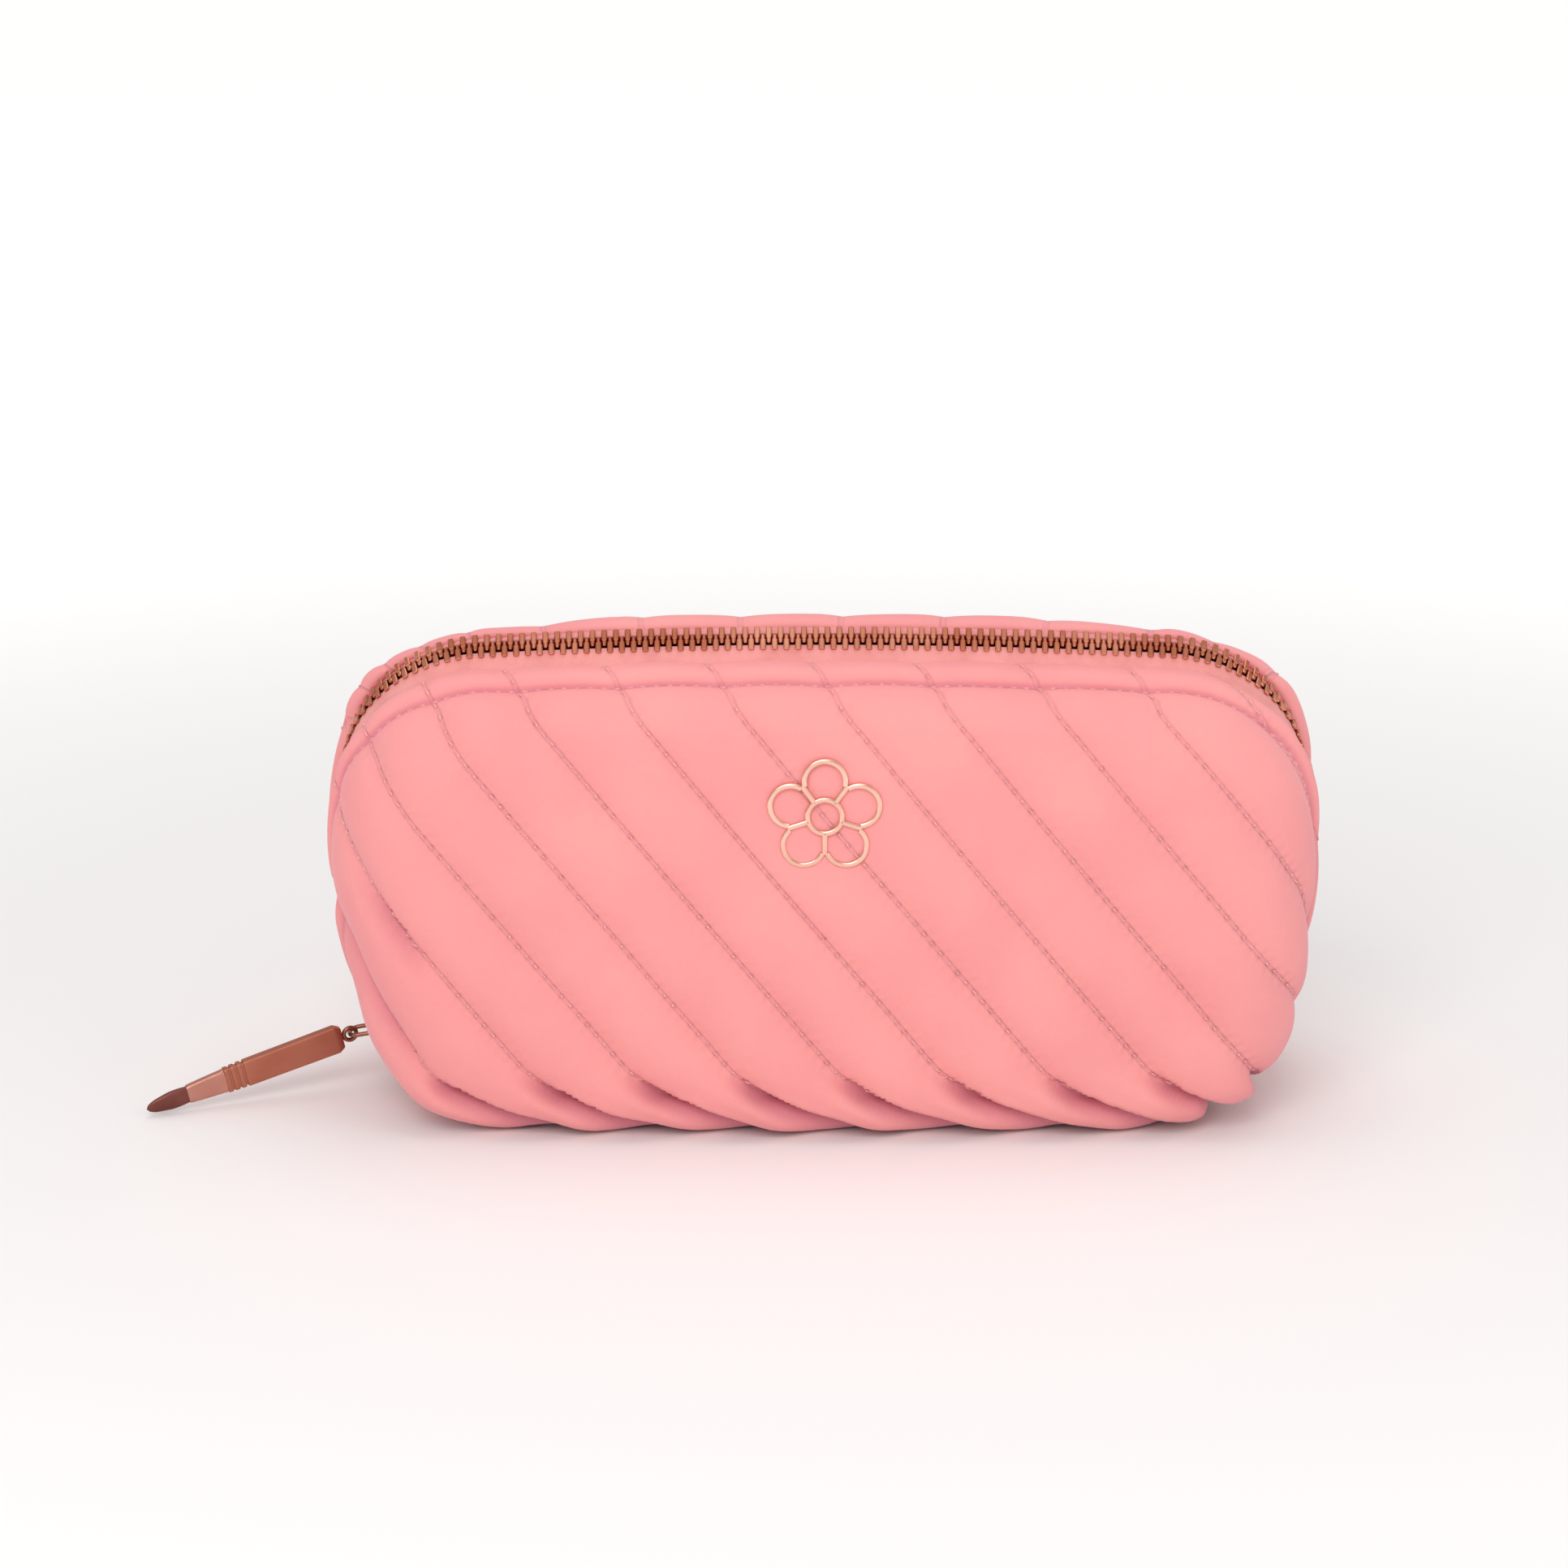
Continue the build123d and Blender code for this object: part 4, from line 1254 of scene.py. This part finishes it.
@dataclass
class Base:
    """Flat padded base panel and its lining."""

    form: BagForm = FORM
    inset: float = 9.0
    corner: float = 17.0
    bottom: float = 0.2
    thickness: float = 4.0
    lining_gap: float = 0.1
    lining_thickness: float = 0.6
    lining_inset: float = 11.0
    points: int = 128

    def outline(self, inset: float) -> Array:
        """Rounded rectangle round the base's middle, as (n, 2) places."""
        half_x = self.form.foot_half - inset
        front, back = -self.form.front_depth + inset, self.form.back_depth - inset
        middle, half_y = 0.5 * (front + back), 0.5 * (back - front)
        turn = np.linspace(0, 2 * math.pi, self.points, endpoint=False)
        square = np.stack([np.cos(turn), np.sin(turn)], axis=1)
        box = square / np.abs(square).max(axis=1, keepdims=True)
        core = np.array([half_x - self.corner, half_y - self.corner])
        flat = box * np.array([half_x, half_y])
        inner = np.clip(flat, -core, core)
        in_corner = np.all(np.abs(flat) > core, axis=1, keepdims=True)
        straight = np.linalg.norm(flat - inner, axis=1, keepdims=True)
        rounded = inner + unit(flat - inner) * np.where(in_corner, self.corner, straight)
        return rounded + np.array([0.0, middle])

    def slab(self, name: str, inset: float, bottom: float, thickness: float, puff: float) -> bpy.types.Object:
        """Closed slab between two levels, slightly puffed on top."""
        rings = []
        radius = min(0.5 * thickness, 1.8)
        steps = [(s, bottom) for s in (0.02, 0.3, 0.6, 0.85)]
        turns = np.linspace(-math.pi / 2, math.pi / 2, 9)
        edge = self.outline(inset)
        middle = edge.mean(axis=0)
        for share, level in steps:
            rings.append(np.column_stack([middle + (edge - middle) * share, np.full(self.points, level)]))
        for turn in turns:
            inward = radius * (1 - math.cos(turn))
            level = bottom + 0.5 * thickness * (1 + math.sin(turn))
            rings.append(np.column_stack([self.outline(inset + inward), np.full(self.points, level)]))
        for share in (0.85, 0.6, 0.3, 0.02):
            level = bottom + thickness + puff * (1 - share**2)
            rings.append(np.column_stack([middle + (edge - middle) * share, np.full(self.points, level)]))
        piece = skin(name, np.array(rings) * MM)
        smooth(piece, 50)
        return piece

    def build(self) -> None:
        """Make the velvet base and the cloth that lines it."""
        base = self.slab("base_panel", self.inset, self.bottom, self.thickness, 0.0)
        VELVET.dress(base)
        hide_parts("base_cover", "base_wadding")
        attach(base, "back_half")
        level = self.bottom + self.thickness + self.lining_gap
        lining = self.slab("base_lining_cloth", self.lining_inset, level, self.lining_thickness, 0.0)
        LINING_CLOTH.dress(lining)
        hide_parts("base_lining")
        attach(lining, "back_half")


# ------------------------------------------------------------------ zip
@dataclass
class Zip:
    """Woven tapes, two rows of metal teeth and the stops at both ends."""

    form: BagForm = FORM
    pitch: float = 2.5
    tape_inner: float = 1.35
    tape_tuck: float = 1.5
    back_tuck: float = 2.4
    tape_half: float = 0.3
    tape_end: float = 3.0
    foot: float = 2.7
    head_reach: float = 0.95
    half_thick: float = 1.05
    leg_width: float = 1.25
    head_width: float = 0.95
    slider_height: float = 15.5
    slider_half: float = 6.0
    wedge: float = 2.4
    clearance: float = 0.4
    stop_length: float = 2.2

    def build(self) -> None:
        """Make every piece of the zip but the slider."""
        for side in Side:
            self.build_tape(side)
            self.build_teeth(side)
            self.build_top_stop(side)
        self.build_bottom_stop()

    def build_tape(self, side: Side) -> None:
        """One woven tape, its outer edge tucked under the cover's rim."""
        reach = self.form.zip_distance(self.tape_end)
        path, across, half_width = [], [], []
        for distance in np.linspace(-reach, reach, 320):
            origin, axes = self.form.zip_frame(distance)
            level = unit(np.array([0.0, -math.cos(self.form.seam_lean), -math.sin(self.form.seam_lean)]))
            outer = (self.form.rim_offset + self.tape_tuck) / float(axes[0] @ level)
            inner = self.form.round_foot(origin + axes[0] * side.value * self.tape_inner, side)
            edge = self.form.round_foot(origin + axes[0] * side.value * outer, side)
            if side is Side.BACK:
                edge = self.form.settle_back(edge)
                edge[2] -= self.back_tuck * ease((edge[2] - 78.0) / 24.0)
            path.append(0.5 * (inner + edge))
            across.append(unit(edge - inner) * side.value)
            half_width.append(0.5 * float(np.linalg.norm(edge - inner)))
        tape = ribbon(
            f"{side.label}_zip_tape",
            np.array(path) * MM,
            np.array(across),
            np.array(half_width) * MM,
            self.tape_half * MM,
            power=6.0,
            points=20,
        )
        smooth(tape, 40)
        TAPE_CLOTH.dress(tape)
        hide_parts(f"zip_tape_{side.label}")
        hang_on(tape, side)

    def tooth(self, side: Side) -> bpy.types.Object:
        """One tooth: two legs on the tape and a head that reaches past the middle line."""
        parts = []
        span = self.foot - 0.9
        for face in (-1, 1):
            thick = self.half_thick - self.tape_half - 0.05
            leg = self.block((span, thick, self.leg_width), 0.22)
            place_block(leg, (0.9 + span / 2, face * (self.half_thick - thick / 2), 0.0))
            parts.append(leg)
        body = self.block((1.3, 2 * self.half_thick - 0.1, 1.15), 0.2)
        place_block(body, (0.75, 0.0, 0.0))
        parts.append(body)
        head = self.block((self.head_reach + 0.4, 1.6, self.head_width), 0.25)
        place_block(head, ((0.4 - self.head_reach) / 2, 0.0, 0.0))
        parts.append(head)
        tooth = join("tooth_template", parts)
        points = get_points(tooth.data)
        points[:, 0] *= side.value
        set_points(tooth.data, points)
        return tooth

    def block(self, size: tuple[float, float, float], bevel: float) -> bpy.types.Object:
        """Small block with rounded edges, at the origin.  Sizes in millimetres."""
        select_nothing()
        bpy.ops.mesh.primitive_cube_add(size=1.0)
        block = newest("block")
        set_points(block.data, get_points(block.data) * np.array(size) * MM)
        add_modifier(block, "BEVEL", width=bevel * MM, segments=1, limit_method="NONE")
        return block

    def tooth_run(self, side: Side) -> Array:
        """Distances of one row's teeth, from the slider's wedge to the bottom stop."""
        start = -self.form.zip_distance(self.slider_height) - self.slider_half + self.wedge
        start += self.clearance + 0.5
        if side is Side.FRONT:
            start += self.pitch / 2
        end = self.form.zip_distance(self.slider_height) - self.stop_length / 2 - self.clearance - 0.5
        return np.arange(start, end, self.pitch)

    def build_teeth(self, side: Side) -> None:
        """One row of teeth, each square to the zip line."""
        frames = []
        for distance in self.tooth_run(side):
            origin, axes = self.form.zip_frame(float(distance))
            frames.append((origin * MM, axes))
        row = repeat_piece(f"{side.label}_zip_teeth", self.tooth(side), frames)
        mend_normals(row)
        smooth(row, 35)
        TEETH_METAL.dress(row)
        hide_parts(f"zip_teeth_{side.label}")
        hang_on(row, side)

    def build_top_stop(self, side: Side) -> None:
        """Small clip at the shut end of one tape, below the slider."""
        slider_end = self.form.zip_distance(self.slider_height) + self.slider_half
        distance = -(slider_end + self.clearance + self.stop_length / 2)
        width = self.foot - 0.2
        clip = self.block((width, 2 * self.half_thick, self.stop_length), 0.35)
        self.place_stop(clip, distance, side.value * (0.2 + width / 2))
        finish_stop(clip, f"{side.label}_zip_top_stop", f"zip_top_stop_{side.label}")
        hang_on(clip, side)

    def build_bottom_stop(self) -> None:
        """Staple over both tapes at the open end."""
        bar = self.block((2 * self.foot, 2 * self.half_thick, self.stop_length), 0.4)
        self.place_stop(bar, self.form.zip_distance(self.slider_height), 0.0)
        finish_stop(bar, "zip_bottom_staple", "zip_bottom_stop")
        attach(bar, "back_half")

    def place_stop(self, block: bpy.types.Object, distance: float, across: float) -> None:
        """Move a block to its place across and along the zip."""
        origin, axes = self.form.zip_frame(distance)
        points = get_points(block.data) + np.array([across, 0.0, 0.0]) * MM
        set_points(block.data, origin * MM + points @ axes)


def place_block(block: bpy.types.Object, place: Sequence[float]) -> None:
    """Shift a block's mesh, in millimetres."""
    set_points(block.data, get_points(block.data) + np.array(place) * MM)


def mend_normals(piece: bpy.types.Object) -> None:
    """Turn every face outwards."""
    select_nothing()
    piece.select_set(True)
    bpy.context.view_layer.objects.active = piece
    bpy.ops.object.mode_set(mode="EDIT")
    bpy.ops.mesh.select_all(action="SELECT")
    bpy.ops.mesh.normals_make_consistent(inside=False)
    bpy.ops.object.mode_set(mode="OBJECT")


def finish_stop(block: bpy.types.Object, name: str, cad_node: str) -> None:
    """Name, smooth and dress a zip stop."""
    block.name = name
    block.data.name = name
    smooth(block, 35)
    TEETH_METAL.dress(block)
    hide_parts(cad_node)


# ------------------------------------------------------------------ slider and pull
@dataclass
class Slider:
    """Cast slider: two shaped plates, flanges, wedge and the bail that holds the link."""

    form: BagForm = FORM
    height: float = 15.5
    half_width: float = 4.4
    half_length: float = 6.0
    plate: float = 0.9
    inner: float = 1.75
    flange: float = 0.8
    mouth: float = 0.9
    bail_half: float = 3.4
    bail_room: float = 2.0
    bail_wall: float = 0.9
    bail_width: float = 1.6

    def frame(self) -> tuple[Array, Array]:
        """Origin and axes of the slider when the zip is shut."""
        return self.form.zip_frame(-self.form.zip_distance(self.height))

    def put(self, piece: bpy.types.Object) -> None:
        """Move a piece from the slider's own axes, in millimetres, to its place."""
        origin, axes = self.frame()
        set_points(piece.data, (origin + get_points(piece.data) @ axes) * MM)

    def build(self) -> None:
        """Make the body and the bail."""
        parts = []
        z = np.linspace(-1, 1, 25)
        nose = 0.86 + 0.14 * ease(0.5 * (z + 1))
        wide = self.half_width * nose * (1 - 0.30 * np.abs(z) ** 8)
        length = self.half_length * z
        for face in (-1, 1):
            middle = face * (self.inner + self.plate / 2)
            path = np.column_stack([np.zeros(25), np.full(25, middle), length])
            thin = 0.5 * self.plate * (1 - 0.35 * np.abs(z) ** 6)
            parts.append(ribbon("plate", path, (1, 0, 0), wide, thin, power=4.0, points=24))
            for side in (-1, 1):
                edge = side * (wide - 0.5 * self.flange)
                level = np.full(25, face * (self.inner + self.mouth) / 2)
                path = np.column_stack([edge, level, 0.93 * length])
                half = 0.5 * (self.inner - self.mouth) + 0.08
                parts.append(ribbon("flange", path, (1, 0, 0), 0.5 * self.flange, half, power=4.0))
        path = np.array([[0, y, self.half_length - 1.3] for y in np.linspace(-self.inner, self.inner, 5)])
        parts.append(ribbon("wedge", path, (1, 0, 0), 1.2, 1.2, power=2.6))
        body = join("slider_casting", parts)
        self.put(body)
        smooth(body, 40)
        SLIDER_METAL.dress(body)
        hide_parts("slider_body")
        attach(body, "slider")
        self.build_bail()

    def build_bail(self) -> None:
        """Arch over the outer plate."""
        top = self.inner + self.plate
        half = self.bail_half - self.bail_wall / 2
        rise = self.bail_room + self.bail_wall / 2
        turn = np.linspace(-math.pi / 2, math.pi / 2, 31)
        z = half * np.sign(np.sin(turn)) * np.abs(np.sin(turn)) ** 0.45
        y = top + rise * np.cos(turn) ** 0.45
        path = np.column_stack([np.zeros(31), y, z])
        bail = ribbon("slider_bridge", path, (1, 0, 0), self.bail_width / 2, self.bail_wall / 2, power=3.0)
        self.put(bail)
        smooth(bail, 45)
        SLIDER_METAL.dress(bail)
        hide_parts("slider_bail")
        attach(bail, "slider")


@dataclass
class Pull:
    """Oval link and a brush-shaped pull: eye, flat bar, grooved rings, ferrule and tip."""

    slider: Slider = field(default_factory=Slider)
    wire: float = 0.5
    link_radius: float = 2.0
    link_straight: float = 2.4
    way: tuple[float, float, float] = (-41.0, -18.0, -10.5)
    eye_radius: float = 1.45
    handle_length: float = 23.0
    half_width: float = 3.2
    half_thick: float = 1.2
    shoulder: float = 1.4
    band: float = 4.6
    ferrule_length: float = 8.9
    ferrule_half: tuple[float, float] = (2.7, 2.1)
    tip_length: float = 9.5
    tip_half: float = 2.05

    def link_axes(self) -> tuple[Array, Array, float]:
        """Origin and axes of the link, and the pull's turn in the link's plane."""
        origin, axes = self.slider.frame()
        reach = self.slider.inner + self.slider.plate + self.slider.bail_room / 2
        start = origin + axes[1] * reach
        way = unit(np.array(self.way))
        side = float(way @ axes[0])
        out = unit(way - axes[0] * side)
        normal = np.cross(out, axes[0])
        return start, np.stack([out, np.cross(normal, out), normal]), math.asin(side)

    def pull_axes(self) -> tuple[Array, Array]:
        """Origin and axes of the pull: along it, across its broad face, out of the face."""
        start, axes, lean = self.link_axes()
        centre = self.link_radius + self.link_straight
        reach = centre + self.link_radius * math.cos(lean)
        origin = start + axes[0] * reach + axes[1] * self.link_radius * math.sin(lean)
        run = axes[0] * math.cos(lean) + axes[1] * math.sin(lean)
        out = np.cross(run, axes[2])
        return origin, np.stack([run, np.cross(out, run), out])

    def build(self) -> None:
        """Make every piece of the pull."""
        self.build_link()
        self.build_eye()
        start = self.eye_radius + self.wire
        self.build_handle(start)
        start += self.handle_length + self.band
        self.build_ferrule(start)
        self.build_tip(start + self.ferrule_length)

    def finish(self, piece: bpy.types.Object, finish: Finish, cad_node: str, slot: str, body: str) -> None:
        """Dress a piece, and give it its body."""
        smooth(piece, 40)
        finish.dress(piece)
        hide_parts(cad_node)
        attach(piece, body)

    def put(self, piece: bpy.types.Object) -> None:
        """Move a piece from the pull's own axes, in millimetres, to its place."""
        origin, axes = self.pull_axes()
        set_points(piece.data, (origin + get_points(piece.data) @ axes) * MM)

    def build_link(self) -> None:
        """Oval wire link between the bail and the eye."""
        select_nothing()
        bpy.ops.mesh.primitive_torus_add(
            major_radius=self.link_radius, minor_radius=self.wire, major_segments=64, minor_segments=16
        )
        link = newest("pull_link_wire")
        points = get_points(link.data)
        points[:, 0] += np.where(points[:, 0] > 0, self.link_straight, 0.0) + self.link_radius
        origin, axes, _ = self.link_axes()
        set_points(link.data, (origin + points @ axes) * MM)
        self.finish(link, SHADED_LINK_METAL, "pull_ring", "link", "pull_link")

    def build_eye(self) -> None:
        """Round wire eye on the bar's end."""
        select_nothing()
        bpy.ops.mesh.primitive_torus_add(
            major_radius=self.eye_radius, minor_radius=self.wire, major_segments=48, minor_segments=16
        )
        eye = newest("pull_eye_wire")
        self.put(eye)
        self.finish(eye, SHADED_LINK_METAL, "pull_eye", "link", "pull")

    def turned(
        self, name: str, stations: Sequence[tuple[float, float, float]], power: float
    ) -> bpy.types.Object:
        """Bar along X through stations of (place, half width, half thickness)."""
        table = np.array(stations)
        path = np.column_stack([table[:, 0], np.zeros(len(table)), np.zeros(len(table))])
        bar = ribbon(name, path, (0, 1, 0), table[:, 1], table[:, 2], power=power, points=32)
        self.put(bar)
        return bar

    def build_handle(self, start: float) -> None:
        """Flat bar with chamfered shoulders, then three narrow rings between dark grooves."""
        wide, thick = self.half_width, self.half_thick
        end = start + self.handle_length
        stations = [(start, 0.74 * wide, 0.7 * thick), (start + 0.25, 0.80 * wide, 0.85 * thick)]
        stations += [(start + self.shoulder, wide, thick), (start + self.shoulder + 0.3, wide, thick)]
        taper = np.linspace(0, 1, 9)
        stations += [
            (start + 2.2 + share * (self.handle_length - 2.7), wide * (1 - 0.05 * share), thick)
            for share in taper
        ]
        stations += [(end - 0.3, 0.95 * wide, thick), (end, 0.93 * wide, 0.92 * thick)]
        groove = 0.45
        ring = (self.band - 3 * groove) / 3
        place = end
        for index in range(3):
            wide_here = wide * (0.93 - 0.02 * index)
            stations += [
                (place + 0.04, 0.84 * wide, 0.72 * thick),
                (place + groove, 0.84 * wide, 0.72 * thick),
                (place + groove + 0.06, wide_here - 0.06, 0.90 * thick),
                (place + groove + 0.2, wide_here, 0.96 * thick),
                (place + groove + ring - 0.15, wide_here, 0.96 * thick),
                (place + groove + ring, wide_here - 0.06, 0.90 * thick),
            ]
            place += groove + ring
        handle = self.turned("pull_bar", stations, power=9.0)
        self.finish(handle, HANDLE_METAL, "pull_handle", "handle", "pull")

    def build_ferrule(self, start: float) -> None:
        """Tapered paler sleeve that holds the tip."""
        wide, slim = self.ferrule_half
        end = start + self.ferrule_length
        stations = [(start, wide, 0.86 * self.half_thick), (start + 0.2, wide + 0.06, 0.93 * self.half_thick)]
        for share in np.linspace(0.1, 0.95, 8):
            half = wide + (slim - wide) * share**1.3
            thick = (0.93 - 0.1 * share) * self.half_thick
            stations.append((start + share * self.ferrule_length, half, thick))
        stations += [(end, slim - 0.1, 0.76 * self.half_thick)]
        ferrule = self.turned("pull_sleeve", stations, power=4.0)
        self.finish(ferrule, FERRULE_METAL, "pull_ferrule", "ferrule", "pull")

    def build_tip(self, start: float) -> None:
        """Rounded brush head."""
        stations = []
        for share in np.linspace(0, 1, 22):
            round_off = math.sqrt(max(1 - max(share - 0.35, 0.0) ** 2 / 0.65**2, 0.0004))
            half = self.tip_half * (0.94 + 0.10 * math.sin(math.pi * min(share / 0.6, 1.0))) * round_off
            stations.append((start + share * self.tip_length, half, 0.75 * self.half_thick * round_off))
        tip = self.turned("pull_brush_head", stations, power=2.4)
        self.finish(tip, TIP_ENAMEL, "pull_tip", "brush_tip", "pull")


# ------------------------------------------------------------------ badge
@dataclass
class Badge:
    """Blossom outline in rounded metal line, with a ring at its heart and spokes."""

    form: BagForm = FORM
    height: float = 72.0
    reach: float = 12.6
    petals: int = 5
    petal_radius: float = 5.0
    line: float = 1.3
    half_thick: float = 0.62
    stand: float = 0.75
    heart: float = 4.3
    prong: float = 0.5
    prong_reach: float = 5.3

    def put(self, piece: bpy.types.Object) -> None:
        """Move a piece from the badge's plane, in millimetres, to the front face."""
        foot_y, top_y, top_z = self.form.sections(Side.FRONT)[-1][:3]
        lean = math.atan2(top_y - foot_y, top_z)
        out = np.array([0.0, -math.cos(lean), math.sin(lean)])
        up = np.array([0.0, math.sin(lean), math.cos(lean)])
        origin = np.array([0.0, foot_y + (top_y - foot_y) * self.height / top_z, self.height])
        axes = np.stack([np.array([1.0, 0.0, 0.0]), up, out])
        set_points(piece.data, (origin + get_points(piece.data) @ axes) * MM)

    def bar(self, points: Array, closed: bool = False) -> bpy.types.Object:
        """Rounded line through places on the badge's plane."""
        path = np.column_stack([points, np.full(len(points), self.stand)])
        tangent = np.gradient(path, axis=0)
        if closed:
            tangent = np.roll(path, -1, axis=0) - np.roll(path, 1, axis=0)
        side = np.cross(tangent, (0.0, 0.0, 1.0))
        return ribbon(
            "badge_line", path, side, self.line / 2, self.half_thick, power=3.0, points=16, closed=closed
        )

    def build(self) -> None:
        """Make the badge and its prongs as one piece, and dress the washer behind it."""
        centre = self.reach - self.petal_radius
        middle = self.petal_radius - self.line / 2
        parts = []
        for index in range(self.petals):
            way = math.pi / 2 + 2 * math.pi * index / self.petals
            turn = way + np.radians(np.linspace(-103, 103, 61))
            petal = np.column_stack([np.cos(turn), np.sin(turn)]) * middle
            parts.append(self.bar(petal + centre * np.array([math.cos(way), math.sin(way)])))
            spoke = way + math.pi / self.petals
            run = np.linspace(self.heart - self.line / 2, centre + 0.45, 7)[:, None]
            parts.append(self.bar(run * np.array([math.cos(spoke), math.sin(spoke)])))
            parts.append(self.pin(spoke))
        turn = np.linspace(0, 2 * math.pi, 64, endpoint=False)
        heart = np.column_stack([np.cos(turn), np.sin(turn)]) * (self.heart - self.line / 2)
        parts.append(self.bar(heart, closed=True))
        badge = join("blossom_badge", parts)
        self.put(badge)
        smooth(badge, 45)
        BADGE_METAL.dress(badge)
        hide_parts("emblem")
        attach(badge, "front_half")
        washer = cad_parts["emblem_washer"]
        WASHER_METAL.dress(washer)

    def pin(self, way: float) -> bpy.types.Object:
        """One prong through the cover to the washer."""
        run = np.linspace(self.stand, -self.prong_reach, 4)
        place = (self.heart - self.line / 2) * np.array([math.cos(way), math.sin(way)])
        path = np.column_stack([np.tile(place, (4, 1)), run])
        return ribbon("badge_prong", path, (1, 0, 0), self.prong, self.prong, points=10)


CAMERA_AIM = (-8.6, -15.0, 74.3)
CAMERA_TILT = 15.5
CAMERA_AWAY = 0.796
CAMERA_LENS = 85.0
SENSOR_WIDTH = 36.0
FLOOR_SIZE = 60.0
FLOOR_COLOUR = (0.93, 0.925, 0.92, 1)
GLOW_START, GLOW_END, GLOW_STRENGTH = 0.15, 0.9, 0.45
WORLD_STRENGTH = 0.6
LIGHT_AIM = (0.0, 0.0, 0.05)


def build_stage() -> None:
    """Pale floor, soft lights and the camera."""
    centre = Vector(CAMERA_AIM) * MM
    tilt = math.radians(CAMERA_TILT)
    look = Vector((0.0, math.cos(tilt), -math.sin(tilt)))
    camera_data = bpy.data.cameras.new("camera")
    camera_data.lens = CAMERA_LENS
    camera_data.sensor_width = SENSOR_WIDTH
    camera_data.clip_start = 0.01
    camera = bpy.data.objects.new("camera", camera_data)
    bpy.context.collection.objects.link(camera)
    camera.location = centre - look * CAMERA_AWAY
    camera.rotation_euler = (math.pi / 2 - tilt, 0.0, 0.0)
    bpy.context.scene.camera = camera
    select_nothing()
    bpy.ops.mesh.primitive_plane_add(size=FLOOR_SIZE, location=(0, 0, -0.0002))
    floor = newest("floor")
    floor_finish = bpy.data.materials.new("floor_paper")
    floor_finish.use_nodes = True
    shader = floor_finish.node_tree.nodes["Principled BSDF"]
    shader.inputs["Base Color"].default_value = FLOOR_COLOUR
    shader.inputs["Roughness"].default_value = 0.9
    tree = floor_finish.node_tree
    place = node(tree, "ShaderNodeTexCoord").outputs["Object"]
    length = node(tree, "ShaderNodeVectorMath", operation="LENGTH")
    tree.links.new(place, length.inputs[0])
    glow = node(tree, "ShaderNodeMapRange", interpolation_type="SMOOTHSTEP")
    glow.inputs["From Min"].default_value = GLOW_START
    glow.inputs["From Max"].default_value = GLOW_END
    glow.inputs["To Max"].default_value = GLOW_STRENGTH
    tree.links.new(length.outputs["Value"], glow.inputs["Value"])
    tree.links.new(glow.outputs["Result"], shader.inputs["Emission Strength"])
    shader.inputs["Emission Color"].default_value = (1.0, 0.99, 0.985, 1)
    floor.data.materials.append(floor_finish)
    world = bpy.data.worlds.new("studio")
    world.use_nodes = True
    world.node_tree.nodes["Background"].inputs["Color"].default_value = (1.0, 0.985, 0.98, 1)
    world.node_tree.nodes["Background"].inputs["Strength"].default_value = WORLD_STRENGTH
    bpy.context.scene.world = world
    add_light("key", (-0.22, -0.95, 0.75), 5.3, 0.6)
    add_light("fill", (0.85, -0.65, 0.4), 1.0, 0.7)
    add_light("top", (0.05, 0.15, 1.1), 2.4, 0.8)
    bpy.context.scene.view_settings.view_transform = "Standard"


def add_light(name: str, place: Sequence[float], power: float, size: float) -> None:
    """Square soft light aimed at the bag."""
    data = bpy.data.lights.new(name, "AREA")
    data.energy = power
    data.size = size
    light = bpy.data.objects.new(name, data)
    bpy.context.collection.objects.link(light)
    light.location = place
    aim = Vector(LIGHT_AIM) - Vector(place)
    light.rotation_euler = aim.to_track_quat("-Z", "Y").to_euler()


def main() -> None:
    """Build every sub-assembly in order."""
    logging.basicConfig(level=logging.INFO, format="%(name)s: %(message)s")
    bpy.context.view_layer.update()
    build_stage()
    for side in Side:
        QuiltedHalf(side).build()
        LOG.info("%s half quilted", side.label)
    for part in (Base(), Zip(), Slider(), Pull(), Badge()):
        part.build()
        LOG.info("%s built", type(part).__name__)


if __name__ == "__main__":
    main()
